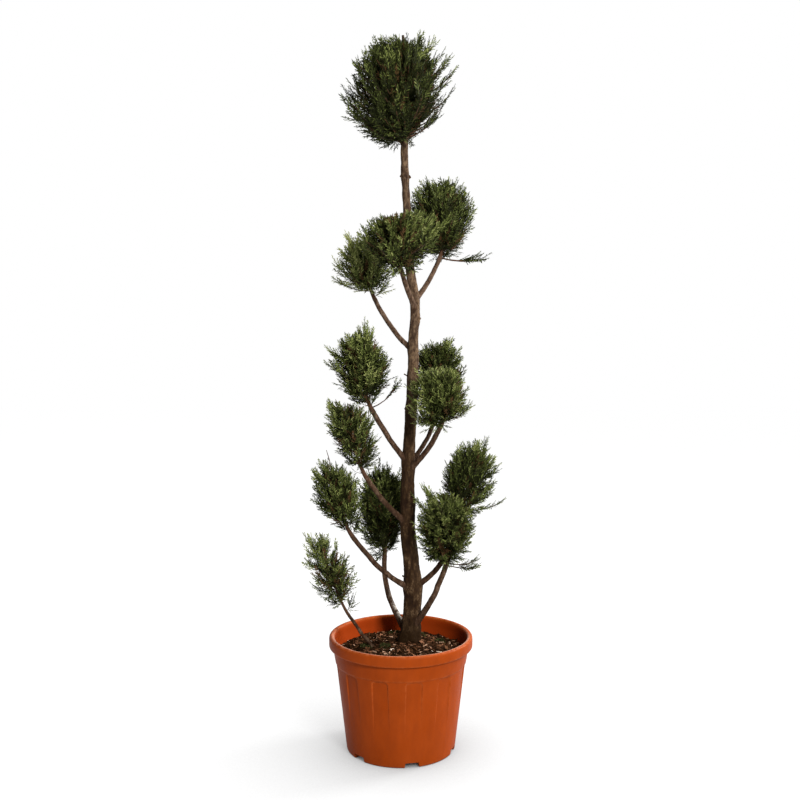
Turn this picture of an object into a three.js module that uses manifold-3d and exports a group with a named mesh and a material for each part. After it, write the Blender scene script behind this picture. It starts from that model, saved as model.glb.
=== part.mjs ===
// Potted leyland cypress, trained and clipped as a pompon tree. Millimetres, +Z up, front towards -Y.
import * as THREE from 'three';
import { mergeVertices } from 'three/addons/utils/BufferGeometryUtils.js';
import Module from 'manifold-3d';

const wasm = await Module();
wasm.setup();

// Fit
const GAP = 0.3;
const LEAF_CLEARANCE = 4;
const SPACE_MARGIN = 1.5;

// Pot: the outside as [height, radius], widening to the rolled rim
const POT_WALL = [[5, 137], [206, 160], [234, 166], [261, 170]];
const POT_HEIGHT = 289;
const RIM_RADIUS = 180;
const RIM_DROP = 27;
const WALL_THICKNESS = 4.5;
const FLOOR_TOP = 18;
const INSIDE_HEIGHTS = [24, 206, 261];
const POT_SIDES = 36;
const PANEL_COUNT = 12;
const PANEL_WIDTH = 40;
const PANEL_BOTTOM = 80;
const PANEL_TOP = 219;
const PANEL_DEPTH = 2.8;
const PANEL_CORNER = 9;
const PANEL_TURN = 11.5;
const DRAIN_COUNT = 6;
const DRAIN_WIDTH = 34;
const DRAIN_HEIGHT = 13;
const DRAIN_LENGTH = 45;

// Soil: flat round the trunk, falling to the pot's wall
const SOIL_TOP = 262;
const SOIL_SEAT_RADIUS = 80;
const SOIL_EDGE = 246;

// Trunk: its axis and radius at each height
const TRUNK = [
  { z: 250, x: 20, y: 30, r: 31 },
  { z: 300, x: 25, y: 30, r: 23 },
  { z: 337, x: 28, y: 30, r: 22 },
  { z: 392, x: 31, y: 28, r: 23.5 },
  { z: 446, x: 28, y: 27, r: 20.5 },
  { z: 554, x: 18, y: 25, r: 18.7 },
  { z: 626, x: 17, y: 22, r: 18 },
  { z: 697, x: 18, y: 20, r: 16.2 },
  { z: 803, x: 23, y: 18, r: 14.4 },
  { z: 968, x: 31, y: 15, r: 13.8 },
  { z: 1032, x: 31, y: 14, r: 12 },
  { z: 1110, x: 35, y: 12, r: 11.6 },
  { z: 1191, x: 24, y: 11, r: 11.2 },
  { z: 1329, x: 16, y: 8, r: 10 },
  { z: 1413, x: 11, y: 6, r: 8.9 },
  { z: 1494, x: 9, y: 5, r: 8.8 },
  { z: 1560, x: 13, y: 4, r: 7 },
  { z: 1756, x: 5, y: 0, r: 3 },
];
const TRUNK_SIDES = 9;
const TRUNK_STEPS = 30;

// Pruned stubs on the trunk: height, bearing, length and radius
const STUBS = [
  { z: 1416, bearing: 10, length: 15, r: 4 },
  { z: 1419, bearing: 175, length: 14, r: 4 },
  { z: 1072, bearing: -25, length: 18, r: 4.5 },
  { z: 848, bearing: 170, length: 19, r: 4 },
  { z: 614, bearing: -20, length: 23, r: 5 },
];

// Balls of foliage: width, length, lean towards a bearing, and how far the limb's end is sunk in.
// A bearing is degrees from +X towards +Y.
// A stray spray is its bearing, climb and distance from the ball's centre.
const TOP_BALL = {
  name: 'top', x: -2, y: 2, z: 1629, across: 262, tall: 260, lean: 0, toward: 0, sink: 0,
  strays: [[185, -8, 146], [-5, 20, 148], [160, 70, 140], [200, -40, 150]],
};

// Boughs: the height each leaves the trunk, its bearing, reach and rise, and how its middle bows, sags and swings
const BOUGHS = [
  {
    name: 'upper_right', leaves: 1126, bearing: 42, reach: 87, rise: 108,
    bow: 3, sag: 8, thick: [12.7, 11],
    ball: { across: 184, tall: 228, lean: 12, toward: 80, sink: 20 },
    strays: [[0, -36, 146]],
  },
  {
    name: 'upper_front', leaves: 1100, bearing: -113, reach: 96, rise: 102,
    bow: 0, sag: 0, thick: [12.7, 11.3],
    ball: { across: 206, tall: 160, lean: 13, toward: -97, sink: 14 },
    strays: [[-5, 16, 130]],
  },
  {
    name: 'upper_left', leaves: 1003, bearing: 157, reach: 105, rise: 126,
    bow: 0, sag: 16, thick: [12.7, 11.5],
    ball: { across: 168, tall: 184, lean: 17, toward: 159, sink: 14 },
    strays: [[180, -31, 98], [180, 50, 104]],
  },
  {
    name: 'middle_left', leaves: 720, bearing: 206, reach: 101, rise: 140,
    bow: 0, sag: 8, thick: [14, 12.5],
    ball: { across: 158, tall: 230, lean: 12, toward: 202, sink: 8 },
    strays: [[185, 22, 106], [-10, -29, 112]],
  },
  {
    name: 'middle_right_front', leaves: 700, bearing: -43, reach: 109, rise: 124,
    bow: 4, sag: 8, thick: [14, 12.5],
    ball: { across: 156, tall: 174, lean: 18, toward: -98, sink: 21 },
    strays: [[-40, -70, 100]],
  },
  {
    name: 'middle_right_rear', leaves: 714, bearing: 39, reach: 103, rise: 150,
    bow: 12, sag: 8, thick: [12, 10.5],
    ball: { across: 146, tall: 176, lean: 4, toward: 110, sink: 6 },
    strays: [],
  },
  {
    name: 'lower_middle_left', leaves: 566, bearing: 218, reach: 130, rise: 131,
    bow: 0, sag: 12, thick: [14, 12],
    ball: { across: 124, tall: 230, lean: 18, toward: 195, sink: 6 },
    strays: [[185, 56, 110]],
  },
  {
    name: 'lower_left', leaves: 398, bearing: 204, reach: 165, rise: 150,
    bow: 0, sag: 20, thick: [14, 12],
    ball: { across: 128, tall: 212, lean: 20, toward: 188, sink: 6 },
    strays: [[180, 72, 132]],
  },
  {
    name: 'centre_rear', leaves: 280, bearing: 131, reach: 99, rise: 184,
    bow: 30, sag: 14, thick: [15.5, 13],
    ball: { across: 138, tall: 244, lean: 8, toward: 100, sink: 6 },
    strays: [],
  },
  {
    name: 'right_upper', leaves: 292, bearing: -4.8, reach: 118.4, rise: 305,
    bow: 19.5, sag: 14, swing: -29.5, thick: [15.5, 12],
    ball: { across: 150, tall: 240, lean: 32, toward: 52, sink: 38 },
    strays: [[0, -38, 120]],
  },
  {
    name: 'right_lower', leaves: 404, bearing: -6, reach: 72.5, rise: 64,
    bow: 0, sag: 10, thick: [15.5, 13],
    ball: { across: 154, tall: 250, lean: 27, toward: -80, sink: 24 },
    strays: [[212, 60, 146], [0, -48, 138]],
  },
  {
    name: 'lowest_left', foot: [-65, -15], bearing: 201, reach: 70, rise: 98,
    bow: 0, sag: 2, thick: [9, 8],
    ball: { across: 118, tall: 240, lean: 21, toward: 195, sink: 6 },
    strays: [[180, 74, 132]],
  },
];
const BOUGH_SIDES = 7;
const BOUGH_STEPS = 7;

// Sprays: each side's teeth as [share of length, share of width], the second side set further along
const SPRAY_FIRST_SIDE = [[0.72, 0.5], [0.76, 0.2]];
const SPRAY_SECOND_SIDE = [[0.88, -0.15], [0.86, -0.42]];
const SPRAY_HEART = 0.7;
const SPRAY_WIDTH_SHARE = 0.46;
const STRAY_WIDTH_SHARE = 0.2;
const SPRAY_THICKNESS = 4.5;
const SPRAY_AREA = 3050;
const TWIG_SLOPE = 0.8;
const CORE_SHARE = 0.68;
const GOLDEN_ANGLE = Math.PI * (3 - Math.sqrt(5));
const SEED = 41;

// Finishes
const POT_COLOUR = 0xb5673d;
const SOIL_COLOUR = 0x33281f;
const TRUNK_COLOUR = 0x4a3b31;
const BOUGH_COLOUR = 0x5a4133;
const LEAF_COLOURS = [0x3f5527, 0x374d24, 0x4a5e2b];

// Seeded random numbers
function seededRandom(seed) {
  let state = seed >>> 0;
  return function next() {
    state = (state + 0x6d2b79f5) >>> 0;
    let mixed = Math.imul(state ^ (state >>> 15), state | 1);
    mixed ^= mixed + Math.imul(mixed ^ (mixed >>> 7), mixed | 61);
    return ((mixed ^ (mixed >>> 14)) >>> 0) / 4294967296;
  };
}

// Joining and cutting
function toSolid(geometry) {
  geometry.deleteAttribute('normal');
  geometry.deleteAttribute('uv');
  const merged = mergeVertices(geometry, 1e-4);
  const vertProperties = new Float32Array(merged.attributes.position.array);
  const triVerts = [];
  for (let i = 0; i < merged.index.count; i += 3) {
    const [a, b, c] = [0, 1, 2].map((k) => merged.index.getX(i + k));
    if (a !== b && b !== c && c !== a) triVerts.push(a, b, c);
  }
  const mesh = new wasm.Mesh({ numProp: 3, vertProperties, triVerts: new Uint32Array(triVerts) });
  return new wasm.Manifold(mesh);
}

function toGeometry(solid) {
  const mesh = solid.getMesh();
  const geometry = new THREE.BufferGeometry();
  geometry.setAttribute('position', new THREE.BufferAttribute(new Float32Array(mesh.vertProperties), 3));
  geometry.setIndex(new THREE.BufferAttribute(new Uint32Array(mesh.triVerts), 1));
  const faceted = geometry.toNonIndexed();
  faceted.computeVertexNormals();
  return faceted;
}

function largestBody(solid) {
  const bodies = solid.decompose();
  return bodies.reduce((best, body) => (body.volume() > best.volume() ? body : best));
}

// Directions
function bearingVector(bearing, climb = 0) {
  const turn = THREE.MathUtils.degToRad(bearing);
  const lift = THREE.MathUtils.degToRad(climb);
  const level = Math.cos(lift);
  return new THREE.Vector3(Math.cos(turn) * level, Math.sin(turn) * level, Math.sin(lift));
}

function between(rows, at, key) {
  const above = rows.findIndex((row) => row.z >= at);
  if (above < 0) return rows[rows.length - 1][key];
  if (above === 0) return rows[0][key];
  const [low, high] = [rows[above - 1], rows[above]];
  return THREE.MathUtils.mapLinear(at, low.z, high.z, low[key], high[key]);
}

// Pot: one turned shell, its panels and drain channels cut out
function turned(profile, sides = POT_SIDES) {
  const points = profile.map(([radius, height]) => new THREE.Vector2(radius, height));
  const geometry = new THREE.LatheGeometry(points, sides);
  geometry.rotateX(Math.PI / 2);
  return toSolid(geometry);
}

function wallRadius(height) {
  return between(POT_WALL.map(([z, r]) => ({ z, r })), height, 'r');
}

function insideRadius(height) {
  return between(INSIDE_HEIGHTS.map((z) => ({ z, r: wallRadius(z) - WALL_THICKNESS })), height, 'r');
}

function potShell() {
  const rimBase = POT_HEIGHT - RIM_DROP;
  const outside = POT_WALL.map(([z, r]) => [r, z]);
  const rim = [
    [RIM_RADIUS - 2, rimBase],
    [RIM_RADIUS, rimBase + 4],
    [RIM_RADIUS, POT_HEIGHT - 6],
    [RIM_RADIUS - 3, POT_HEIGHT - 1],
    [RIM_RADIUS - 9, POT_HEIGHT],
    [insideRadius(261), POT_HEIGHT - 7],
  ];
  const inside = INSIDE_HEIGHTS.map((z) => [insideRadius(z), z]);
  const floor = [[inside[0][0] - 6, FLOOR_TOP], [0, FLOOR_TOP]];
  return turned([[0, 0], [POT_WALL[0][1] - 5, 0], ...outside, ...rim, ...inside.reverse(), ...floor]);
}

function panelRecess() {
  const high = [wallRadius(PANEL_TOP) - PANEL_DEPTH, PANEL_TOP];
  const low = [wallRadius(PANEL_BOTTOM), PANEL_BOTTOM];
  const outer = RIM_RADIUS + 5;
  return turned([low, [outer, PANEL_BOTTOM], [outer, PANEL_TOP], high, low]);
}

function panelPrism(turn) {
  const [half, low, high, corner] = [PANEL_WIDTH / 2, PANEL_BOTTOM - 5, PANEL_TOP, PANEL_CORNER];
  const outline = new THREE.Shape();
  outline.moveTo(-half, low);
  outline.lineTo(half, low);
  outline.lineTo(half, high - corner);
  outline.absarc(half - corner, high - corner, corner, 0, Math.PI / 2, false);
  outline.absarc(corner - half, high - corner, corner, Math.PI / 2, Math.PI, false);
  outline.closePath();
  const options = { depth: RIM_RADIUS, bevelEnabled: false, curveSegments: 2 };
  const prism = new THREE.ExtrudeGeometry(outline, options);
  prism.rotateX(Math.PI / 2);
  prism.rotateZ(THREE.MathUtils.degToRad(turn));
  return toSolid(prism);
}

function drainChannel(turn) {
  const channel = new THREE.BoxGeometry(DRAIN_WIDTH, DRAIN_LENGTH, DRAIN_HEIGHT * 2);
  channel.translate(0, -POT_WALL[0][1] - 10 + DRAIN_LENGTH / 2, 0);
  channel.rotateZ(THREE.MathUtils.degToRad(turn));
  return toSolid(channel);
}

function aroundPot(count, make) {
  const pieces = Array.from({ length: count }, (_, k) => make(PANEL_TURN + (360 / count) * k));
  return wasm.Manifold.union(pieces);
}

function potSolid() {
  const panels = panelRecess().intersect(aroundPot(PANEL_COUNT, panelPrism));
  return potShell().subtract(panels).subtract(aroundPot(DRAIN_COUNT, drainChannel));
}

function soilSolid() {
  const side = [INSIDE_HEIGHTS[0], INSIDE_HEIGHTS[1], SOIL_EDGE].map((z) => [insideRadius(z) - GAP, z]);
  const floor = FLOOR_TOP + GAP;
  const brow = [(side[side.length - 1][0] + SOIL_SEAT_RADIUS) / 2, (SOIL_EDGE + SOIL_TOP) / 2 + 3];
  const seat = [[SOIL_SEAT_RADIUS, SOIL_TOP], [0, SOIL_TOP]];
  return turned([[0, floor], [side[0][0] - 6, floor], ...side, brow, ...seat]);
}

// Limbs: a cylinder whose rings are carried along a curve and scaled to the limb's radius there
function limbSolid(limb, sides, steps, swell = 0) {
  const geometry = new THREE.CylinderGeometry(1, 1, 1, sides, steps);
  const frames = limb.curve.computeFrenetFrames(steps, false);
  const position = geometry.attributes.position;
  for (let i = 0; i < position.count; i += 1) {
    const share = THREE.MathUtils.clamp(position.getY(i) + 0.5, 0, 1);
    const ring = Math.round(share * steps);
    const centre = limb.curve.getPointAt(share);
    const radius = limb.radiusAt(share, centre) + swell;
    centre.addScaledVector(frames.normals[ring], position.getX(i) * radius);
    centre.addScaledVector(frames.binormals[ring], -position.getZ(i) * radius);
    position.setXYZ(i, centre.x, centre.y, centre.z);
  }
  return toSolid(geometry);
}

function limbSamples(limb, count = 30) {
  return Array.from({ length: count + 1 }, (_, k) => {
    const centre = limb.curve.getPointAt(k / count);
    return { centre, radius: limb.radiusAt(k / count, centre) };
  });
}

function trunkLimb() {
  const curve = new THREE.CatmullRomCurve3(TRUNK.map(({ x, y, z }) => new THREE.Vector3(x, y, z)));
  return { curve, radiusAt: (share, centre) => between(TRUNK, centre.z, 'r') };
}

function trunkAxisAt(height) {
  return new THREE.Vector3(between(TRUNK, height, 'x'), between(TRUNK, height, 'y'), height);
}

function stubLimb(stub) {
  const start = trunkAxisAt(stub.z);
  const end = start.clone().addScaledVector(bearingVector(stub.bearing, 35), stub.length);
  return { curve: new THREE.LineCurve3(start, end), radiusAt: () => stub.r };
}

function trunkSolid(trunk, swell = 0) {
  const stubs = STUBS.map((stub) => limbSolid(stubLimb(stub), 6, 1, swell));
  const whole = wasm.Manifold.union([limbSolid(trunk, TRUNK_SIDES, TRUNK_STEPS, swell), ...stubs]);
  return whole.trimByPlane([0, 0, 1], SOIL_TOP + GAP - swell);
}

function boughLimb(bough) {
  const start = bough.foot
    ? new THREE.Vector3(bough.foot[0], bough.foot[1], SOIL_TOP - 8)
    : trunkAxisAt(bough.leaves);
  const outward = bearingVector(bough.bearing);
  const tip = start.clone().addScaledVector(outward, bough.reach);
  tip.z += bough.rise;
  const middle = start.clone().lerp(tip, 0.5).addScaledVector(outward, bough.bow * 2);
  middle.addScaledVector(bearingVector(bough.bearing + 90), (bough.swing ?? 0) * 2);
  middle.z -= bough.sag * 2;
  const [base, end] = bough.thick;
  const collar = (share) => 1 + 0.35 * Math.exp(-share * 9);
  const radiusAt = (share) => THREE.MathUtils.lerp(base / 2, end / 2, share) * collar(share);
  return { curve: new THREE.QuadraticBezierCurve3(start, middle, tip), radiusAt };
}

// Balls: an ellipsoid along its own lean, with the stem that its twigs leave from
function ballSpace(spec, tip, arrival) {
  const axis = bearingVector(spec.toward, 90 - spec.lean);
  const centre = tip
    ? tip.clone().addScaledVector(axis, spec.tall / 2 - spec.sink)
    : new THREE.Vector3(spec.x, spec.y, spec.z);
  const across = spec.across / 2;
  const tall = spec.tall / 2;
  const sideA = new THREE.Vector3(1, 0, 0).addScaledVector(axis, -axis.x).normalize();
  const sideB = new THREE.Vector3().crossVectors(axis, sideA);
  return { ...spec, axis, centre, across, tall, sideA, sideB, tip, arrival };
}

function ballPoint(ball, unit, scale = 1) {
  return ball.centre.clone()
    .addScaledVector(ball.sideA, unit.x * ball.across * scale)
    .addScaledVector(ball.sideB, unit.y * ball.across * scale)
    .addScaledVector(ball.axis, unit.z * ball.tall * scale);
}

function ballReach(ball, direction) {
  const along = direction.dot(ball.axis) / ball.tall;
  const aside = Math.sqrt(Math.max(0, 1 - direction.dot(ball.axis) ** 2)) / ball.across;
  return 1 / Math.hypot(along, aside);
}

// Each ball keeps to its side of a plane between it and every other ball
function spacePlanes(ball, balls) {
  return balls.filter((other) => other !== ball).map((other) => {
    const toward = other.centre.clone().sub(ball.centre);
    const distance = toward.length();
    toward.divideScalar(distance);
    const own = ballReach(ball, toward);
    const share = (distance * own) / (own + ballReach(other, toward));
    return { toward, limit: ball.centre.dot(toward) + share - SPACE_MARGIN };
  });
}

function keepsToSpace(planes, point) {
  return planes.every(({ toward, limit }) => point.dot(toward) < limit);
}

function clearOfLimbs(samples, point) {
  return samples.every(({ centre, radius }) => centre.distanceTo(point) > radius + LEAF_CLEARANCE);
}

function coreSolid(ball, random) {
  const core = new THREE.IcosahedronGeometry(1, ball.tip ? 0 : 1);
  const position = core.attributes.position;
  const phase = random() * 6;
  for (let i = 0; i < position.count; i += 1) {
    const unit = new THREE.Vector3().fromBufferAttribute(position, i);
    const lump = Math.sin(5 * unit.x + phase) * Math.cos(4 * unit.y - phase) + Math.sin(6 * unit.z);
    const placed = ballPoint(ball, unit, CORE_SHARE * (1 + 0.05 * lump));
    position.setXYZ(i, placed.x, placed.y, placed.z);
  }
  return toSolid(core);
}

function ballStem(ball) {
  const start = ball.tip.clone().addScaledVector(ball.arrival.direction, GAP);
  const middle = start.clone().addScaledVector(ball.arrival.direction, ball.tall * 0.4);
  const end = ball.centre.clone().addScaledVector(ball.axis, ball.tall * 0.5);
  const radiusAt = (share) => THREE.MathUtils.lerp(ball.arrival.radius, 2.5, share);
  return { curve: new THREE.QuadraticBezierCurve3(start, middle, end), radiusAt };
}

// A spray is a flattened double cone whose six rim points are its root, teeth and tip
function sprayOutline(root, tip, aside, width) {
  const along = tip.clone().sub(root);
  const rows = [[0, 0], ...SPRAY_FIRST_SIDE, [1, 0], ...SPRAY_SECOND_SIDE];
  return rows.map(([share, side]) => (
    root.clone().addScaledVector(along, share).addScaledVector(aside, side * width)
  ));
}

function spraySolid(outline, aside) {
  const [root, tip] = [outline[0], outline[outline.length / 2]];
  const face = new THREE.Vector3().crossVectors(aside, tip.clone().sub(root)).normalize();
  const heart = root.clone().lerp(tip, SPRAY_HEART);
  const blade = new THREE.SphereGeometry(1, outline.length, 2);
  const position = blade.attributes.position;
  for (let i = 0; i < position.count; i += 1) {
    const row = Math.floor(i / (outline.length + 1)) - 1;
    const rim = outline[i % (outline.length + 1) % outline.length];
    const placed = row === 0 ? rim : heart.clone().addScaledVector(face, (-row * SPRAY_THICKNESS) / 2);
    position.setXYZ(i, placed.x, placed.y, placed.z);
  }
  return toSolid(blade);
}

// Spray ends stand evenly over the ball by the golden angle, and the listed strays stand out past it
function sprayEnds(ball, random) {
  const mean = Math.cbrt(ball.across * ball.across * ball.tall);
  const count = Math.round((4 * Math.PI * mean * mean) / SPRAY_AREA);
  const turn = random() * Math.PI * 2;
  const even = Array.from({ length: count }, (_, k) => {
    const height = 1 - (2 * (k + 0.5)) / count;
    const ring = Math.sqrt(1 - height * height);
    const angle = turn + GOLDEN_ANGLE * k + (random() - 0.5) * 0.5;
    const unit = new THREE.Vector3(Math.cos(angle) * ring, Math.sin(angle) * ring, height);
    return { end: ballPoint(ball, unit, 0.94 + 0.1 * random()), width: SPRAY_WIDTH_SHARE };
  });
  const strays = ball.strays.map(([bearing, climb, distance]) => {
    const end = ball.centre.clone().addScaledVector(bearingVector(bearing, climb), distance);
    return { end, width: STRAY_WIDTH_SHARE };
  });
  return [...even, ...strays];
}

function twigStart(ball, end) {
  const fromCentre = end.clone().sub(ball.centre);
  const along = fromCentre.dot(ball.axis);
  const aside = fromCentre.clone().addScaledVector(ball.axis, -along).length();
  const height = THREE.MathUtils.clamp(along - TWIG_SLOPE * aside, -0.5 * ball.tall, 0.35 * ball.tall);
  return ball.centre.clone().addScaledVector(ball.axis, height);
}

function spraysOf(ball, planes, samples, random) {
  const pieces = [];
  sprayEnds(ball, random).forEach(({ end, width }) => {
    const root = twigStart(ball, end);
    const direction = end.clone().sub(root).normalize();
    const roll = random() * Math.PI;
    const level = new THREE.Vector3().crossVectors(direction, ball.axis).normalize();
    const aside = level.applyAxisAngle(direction, roll);
    const outline = sprayOutline(root, end, aside, root.distanceTo(end) * width);
    const heart = root.clone().lerp(end, SPRAY_HEART);
    const leaf = outline.slice(1);
    const probes = [...leaf, ...leaf.map((point) => point.clone().lerp(heart, 0.5)), heart];
    if (!probes.every((point) => keepsToSpace(planes, point) && clearOfLimbs(samples, point))) return;
    pieces.push(spraySolid(outline, aside));
  });
  return pieces;
}

function ballSolid(ball, balls, samples, limbSpaces, random) {
  const planes = spacePlanes(ball, balls);
  const core = planes.reduce((left, { toward, limit }) => (
    left.trimByPlane([-toward.x, -toward.y, -toward.z], -limit)
  ), coreSolid(ball, random));
  const inner = ball.tip ? [core, limbSolid(ballStem(ball), 5, 2)] : [core];
  const fused = wasm.Manifold.union([...inner, ...spraysOf(ball, planes, samples, random)]);
  const cleared = limbSpaces.reduce((left, space) => left.subtract(space), fused);
  return largestBody(cleared);
}

// Limbs first, so that the foliage can keep clear of them
const trunk = trunkLimb();
const limbs = BOUGHS.map((bough) => ({ name: bough.name, ...boughLimb(bough) }));
const trunkSpace = trunkSolid(trunk, GAP);
const limbSpaces = limbs.map((limb) => limbSolid(limb, BOUGH_SIDES, BOUGH_STEPS, GAP));
const samples = [trunk, ...limbs].flatMap((limb) => limbSamples(limb, limb === trunk ? 160 : 30));

const balls = [
  ballSpace(TOP_BALL),
  ...BOUGHS.map((bough, k) => {
    const { curve, radiusAt } = limbs[k];
    const arrival = { direction: curve.getTangentAt(1), radius: radiusAt(1) };
    const spec = { ...bough.ball, name: bough.name, strays: bough.strays };
    return ballSpace(spec, curve.getPointAt(1), arrival);
  }),
];

function boughSolid(k) {
  const whole = limbSolid(limbs[k], BOUGH_SIDES, BOUGH_STEPS);
  const others = [trunkSpace, ...limbSpaces.slice(0, k)];
  const clear = others.reduce((left, space) => left.subtract(space), whole);
  return largestBody(clear.trimByPlane([0, 0, 1], SOIL_TOP + GAP));
}

// Assembly
const tree = new THREE.Group();
tree.name = 'potted_pompon_cypress';

function place(name, solid, color, roughness) {
  const material = new THREE.MeshStandardMaterial({ color, roughness, metalness: 0 });
  material.name = `${name}_finish`;
  const mesh = new THREE.Mesh(toGeometry(solid), material);
  mesh.name = name;
  tree.add(mesh);
}

place('pot', potSolid(), POT_COLOUR, 0.45);
place('soil', soilSolid(), SOIL_COLOUR, 0.95);
place('trunk', trunkSolid(trunk), TRUNK_COLOUR, 0.9);
BOUGHS.forEach((bough, k) => place(`bough_${bough.name}`, boughSolid(k), BOUGH_COLOUR, 0.85));
balls.forEach((ball, k) => {
  const random = seededRandom(SEED + k * 101);
  const solid = ballSolid(ball, balls, samples, [trunkSpace, ...limbSpaces], random);
  place(`foliage_${ball.name}`, solid, LEAF_COLOURS[k % LEAF_COLOURS.length], 0.8);
});

export default tree;
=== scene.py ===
# %% [markdown]
# # A potted pompon cypress
# The object is a young leyland cypress in a nursery pot. Its boughs are stripped bare and the foliage at
# their ends is clipped into balls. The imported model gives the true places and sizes, so every piece below
# is worked out in the same frame, in metres, with +Z up and the front towards -Y.

from types import SimpleNamespace

import bpy
import numpy as np
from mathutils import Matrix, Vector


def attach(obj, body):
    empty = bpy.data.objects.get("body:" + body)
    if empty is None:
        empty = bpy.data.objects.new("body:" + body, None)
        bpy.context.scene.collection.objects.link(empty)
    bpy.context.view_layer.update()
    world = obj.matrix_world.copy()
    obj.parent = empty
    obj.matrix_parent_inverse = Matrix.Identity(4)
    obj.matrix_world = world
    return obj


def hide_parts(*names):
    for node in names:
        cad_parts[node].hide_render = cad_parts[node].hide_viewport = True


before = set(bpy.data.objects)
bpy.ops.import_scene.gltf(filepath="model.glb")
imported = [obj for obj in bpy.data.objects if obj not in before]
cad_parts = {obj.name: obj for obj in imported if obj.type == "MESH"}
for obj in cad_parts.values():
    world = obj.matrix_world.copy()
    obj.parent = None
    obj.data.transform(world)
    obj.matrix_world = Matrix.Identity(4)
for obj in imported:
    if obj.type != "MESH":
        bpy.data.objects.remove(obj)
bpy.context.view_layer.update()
MM = 0.001

# %% [markdown]
# ## Camera, floor and light
# The photograph looks slightly down on the pot from two thirds of the tree's height. The camera's place was
# fitted to the pot's rim and foot, so it is written as a place, a pitch and a focal length in pixels. The
# plant stands on a white floor that glows evenly, and ambient occlusion dims the glow where something stands
# near, which paints a soft contact shadow round the pot. A white surround gives the even studio light, a lamp
# from the right front gives the pot and the trunk their brighter side, and a second lamp from the right rear
# lights their edges.

# %% Camera
IMAGE_SIDE = 800
FOCAL_PIXELS = 1058
SENSOR_WIDTH = 36.0
CAMERA_PLACE = (-0.002, -2.600, 1.103)
CAMERA_PITCH = 0.0857


def link(thing):
    """Puts an object into the scene and gives it back."""
    bpy.context.scene.collection.objects.link(thing)
    return thing


camera_data = bpy.data.cameras.new("photo_camera")
camera_data.sensor_width = SENSOR_WIDTH
camera_data.lens = FOCAL_PIXELS / IMAGE_SIDE * SENSOR_WIDTH
camera = link(bpy.data.objects.new("photo_camera", camera_data))
camera.location = CAMERA_PLACE
camera.rotation_euler = (np.pi / 2 - CAMERA_PITCH, 0.0, 0.0)
bpy.context.scene.camera = camera
print("lens", round(camera_data.lens, 2))

# %% Floor
FLOOR_HALF = 9.0
FLOOR_TONE, FLOOR_GLOW, CONTACT_SHADOW_REACH = 0.12, 0.94, 0.65
WHITE = (1.0, 1.0, 1.0, 1.0)


def plain_material(name, colour, roughness, specular=0.5):
    """One even finish: a colour, a roughness and a strength of reflection, all set on the shader itself."""
    material = bpy.data.materials.new(name)
    material.use_nodes = True
    shader = material.node_tree.nodes["Principled BSDF"]
    shader.inputs["Base Color"].default_value = (*colour, 1.0)
    shader.inputs["Roughness"].default_value = roughness
    shader.inputs["Specular IOR Level"].default_value = specular
    material.diffuse_color = (*colour, 1.0)
    return material


def math_node(nodes, operation, *values):
    """A math node with its first inputs set to the given values, None for one that is linked later."""
    node = nodes.new("ShaderNodeMath")
    node.operation = operation
    for socket, value in zip(node.inputs, values):
        if value is not None:
            socket.default_value = value
    return node


floor_mesh = bpy.data.meshes.new("studio_floor")
corners = FLOOR_HALF * np.array([[-1, -1, 0], [1, -1, 0], [1, 1, 0], [-1, 1, 0]])
floor_mesh.from_pydata(corners.tolist(), [], [(0, 1, 2, 3)])


def glowing_floor():
    """A white floor that glows evenly, its glow dimmed by ambient occlusion to paint a soft contact shadow.
    """
    material = plain_material("pale_floor", (FLOOR_TONE, FLOOR_TONE, FLOOR_TONE), 0.9, 0.0)
    nodes, links = material.node_tree.nodes, material.node_tree.links
    shader = nodes["Principled BSDF"]
    shader.inputs["Emission Color"].default_value = WHITE
    # Ambient occlusion dims the glow near the pot: a painted contact shadow.
    painted_contact_shadow = nodes.new("ShaderNodeAmbientOcclusion")
    painted_contact_shadow.samples = 6
    painted_contact_shadow.inputs["Distance"].default_value = CONTACT_SHADOW_REACH
    glow = math_node(nodes, "MULTIPLY", None, FLOOR_GLOW)
    links.new(painted_contact_shadow.outputs["AO"], glow.inputs[0])
    links.new(glow.outputs[0], shader.inputs["Emission Strength"])
    return material


floor_mesh.materials.append(glowing_floor())
floor = link(bpy.data.objects.new("studio_floor", floor_mesh))
print("floor", 2 * FLOOR_HALF, "m across")

# %% White surround
ROOM_DARK, ROOM_BRIGHT = 0.22, 0.90
ROOM_TURN = (-0.5, 0.6)
BRIGHT_SIDE = (0.68, 0.68, -0.25)


def white_surround():
    """The room's light: bright behind the plant and to its right, dark in front, seen as plain white."""
    world = bpy.data.worlds.new("white_surround")
    world.use_nodes = True
    nodes, links = world.node_tree.nodes, world.node_tree.links
    room = nodes["Background"]
    backdrop = nodes.new("ShaderNodeBackground")
    backdrop.inputs["Color"].default_value = WHITE
    room.inputs["Color"].default_value = WHITE
    toward = nodes.new("ShaderNodeVectorMath")
    toward.operation = "DOT_PRODUCT"
    toward.inputs[1].default_value = BRIGHT_SIDE
    links.new(nodes.new("ShaderNodeTexCoord").outputs["Generated"], toward.inputs[0])
    depth = nodes.new("ShaderNodeMapRange")
    depth.interpolation_type = "SMOOTHSTEP"
    depth.inputs["From Min"].default_value, depth.inputs["From Max"].default_value = ROOM_TURN
    depth.inputs["To Min"].default_value = ROOM_DARK
    depth.inputs["To Max"].default_value = ROOM_BRIGHT
    links.new(toward.outputs["Value"], depth.inputs["Value"])
    links.new(depth.outputs["Result"], room.inputs["Strength"])
    mix = nodes.new("ShaderNodeMixShader")
    links.new(nodes.new("ShaderNodeLightPath").outputs["Is Camera Ray"], mix.inputs[0])
    links.new(room.outputs[0], mix.inputs[1])
    links.new(backdrop.outputs[0], mix.inputs[2])
    links.new(mix.outputs[0], nodes["World Output"].inputs["Surface"])
    return world


bpy.context.scene.world = white_surround()
bpy.context.scene.view_settings.view_transform = "Standard"
print("world", bpy.context.scene.world.name)

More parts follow.
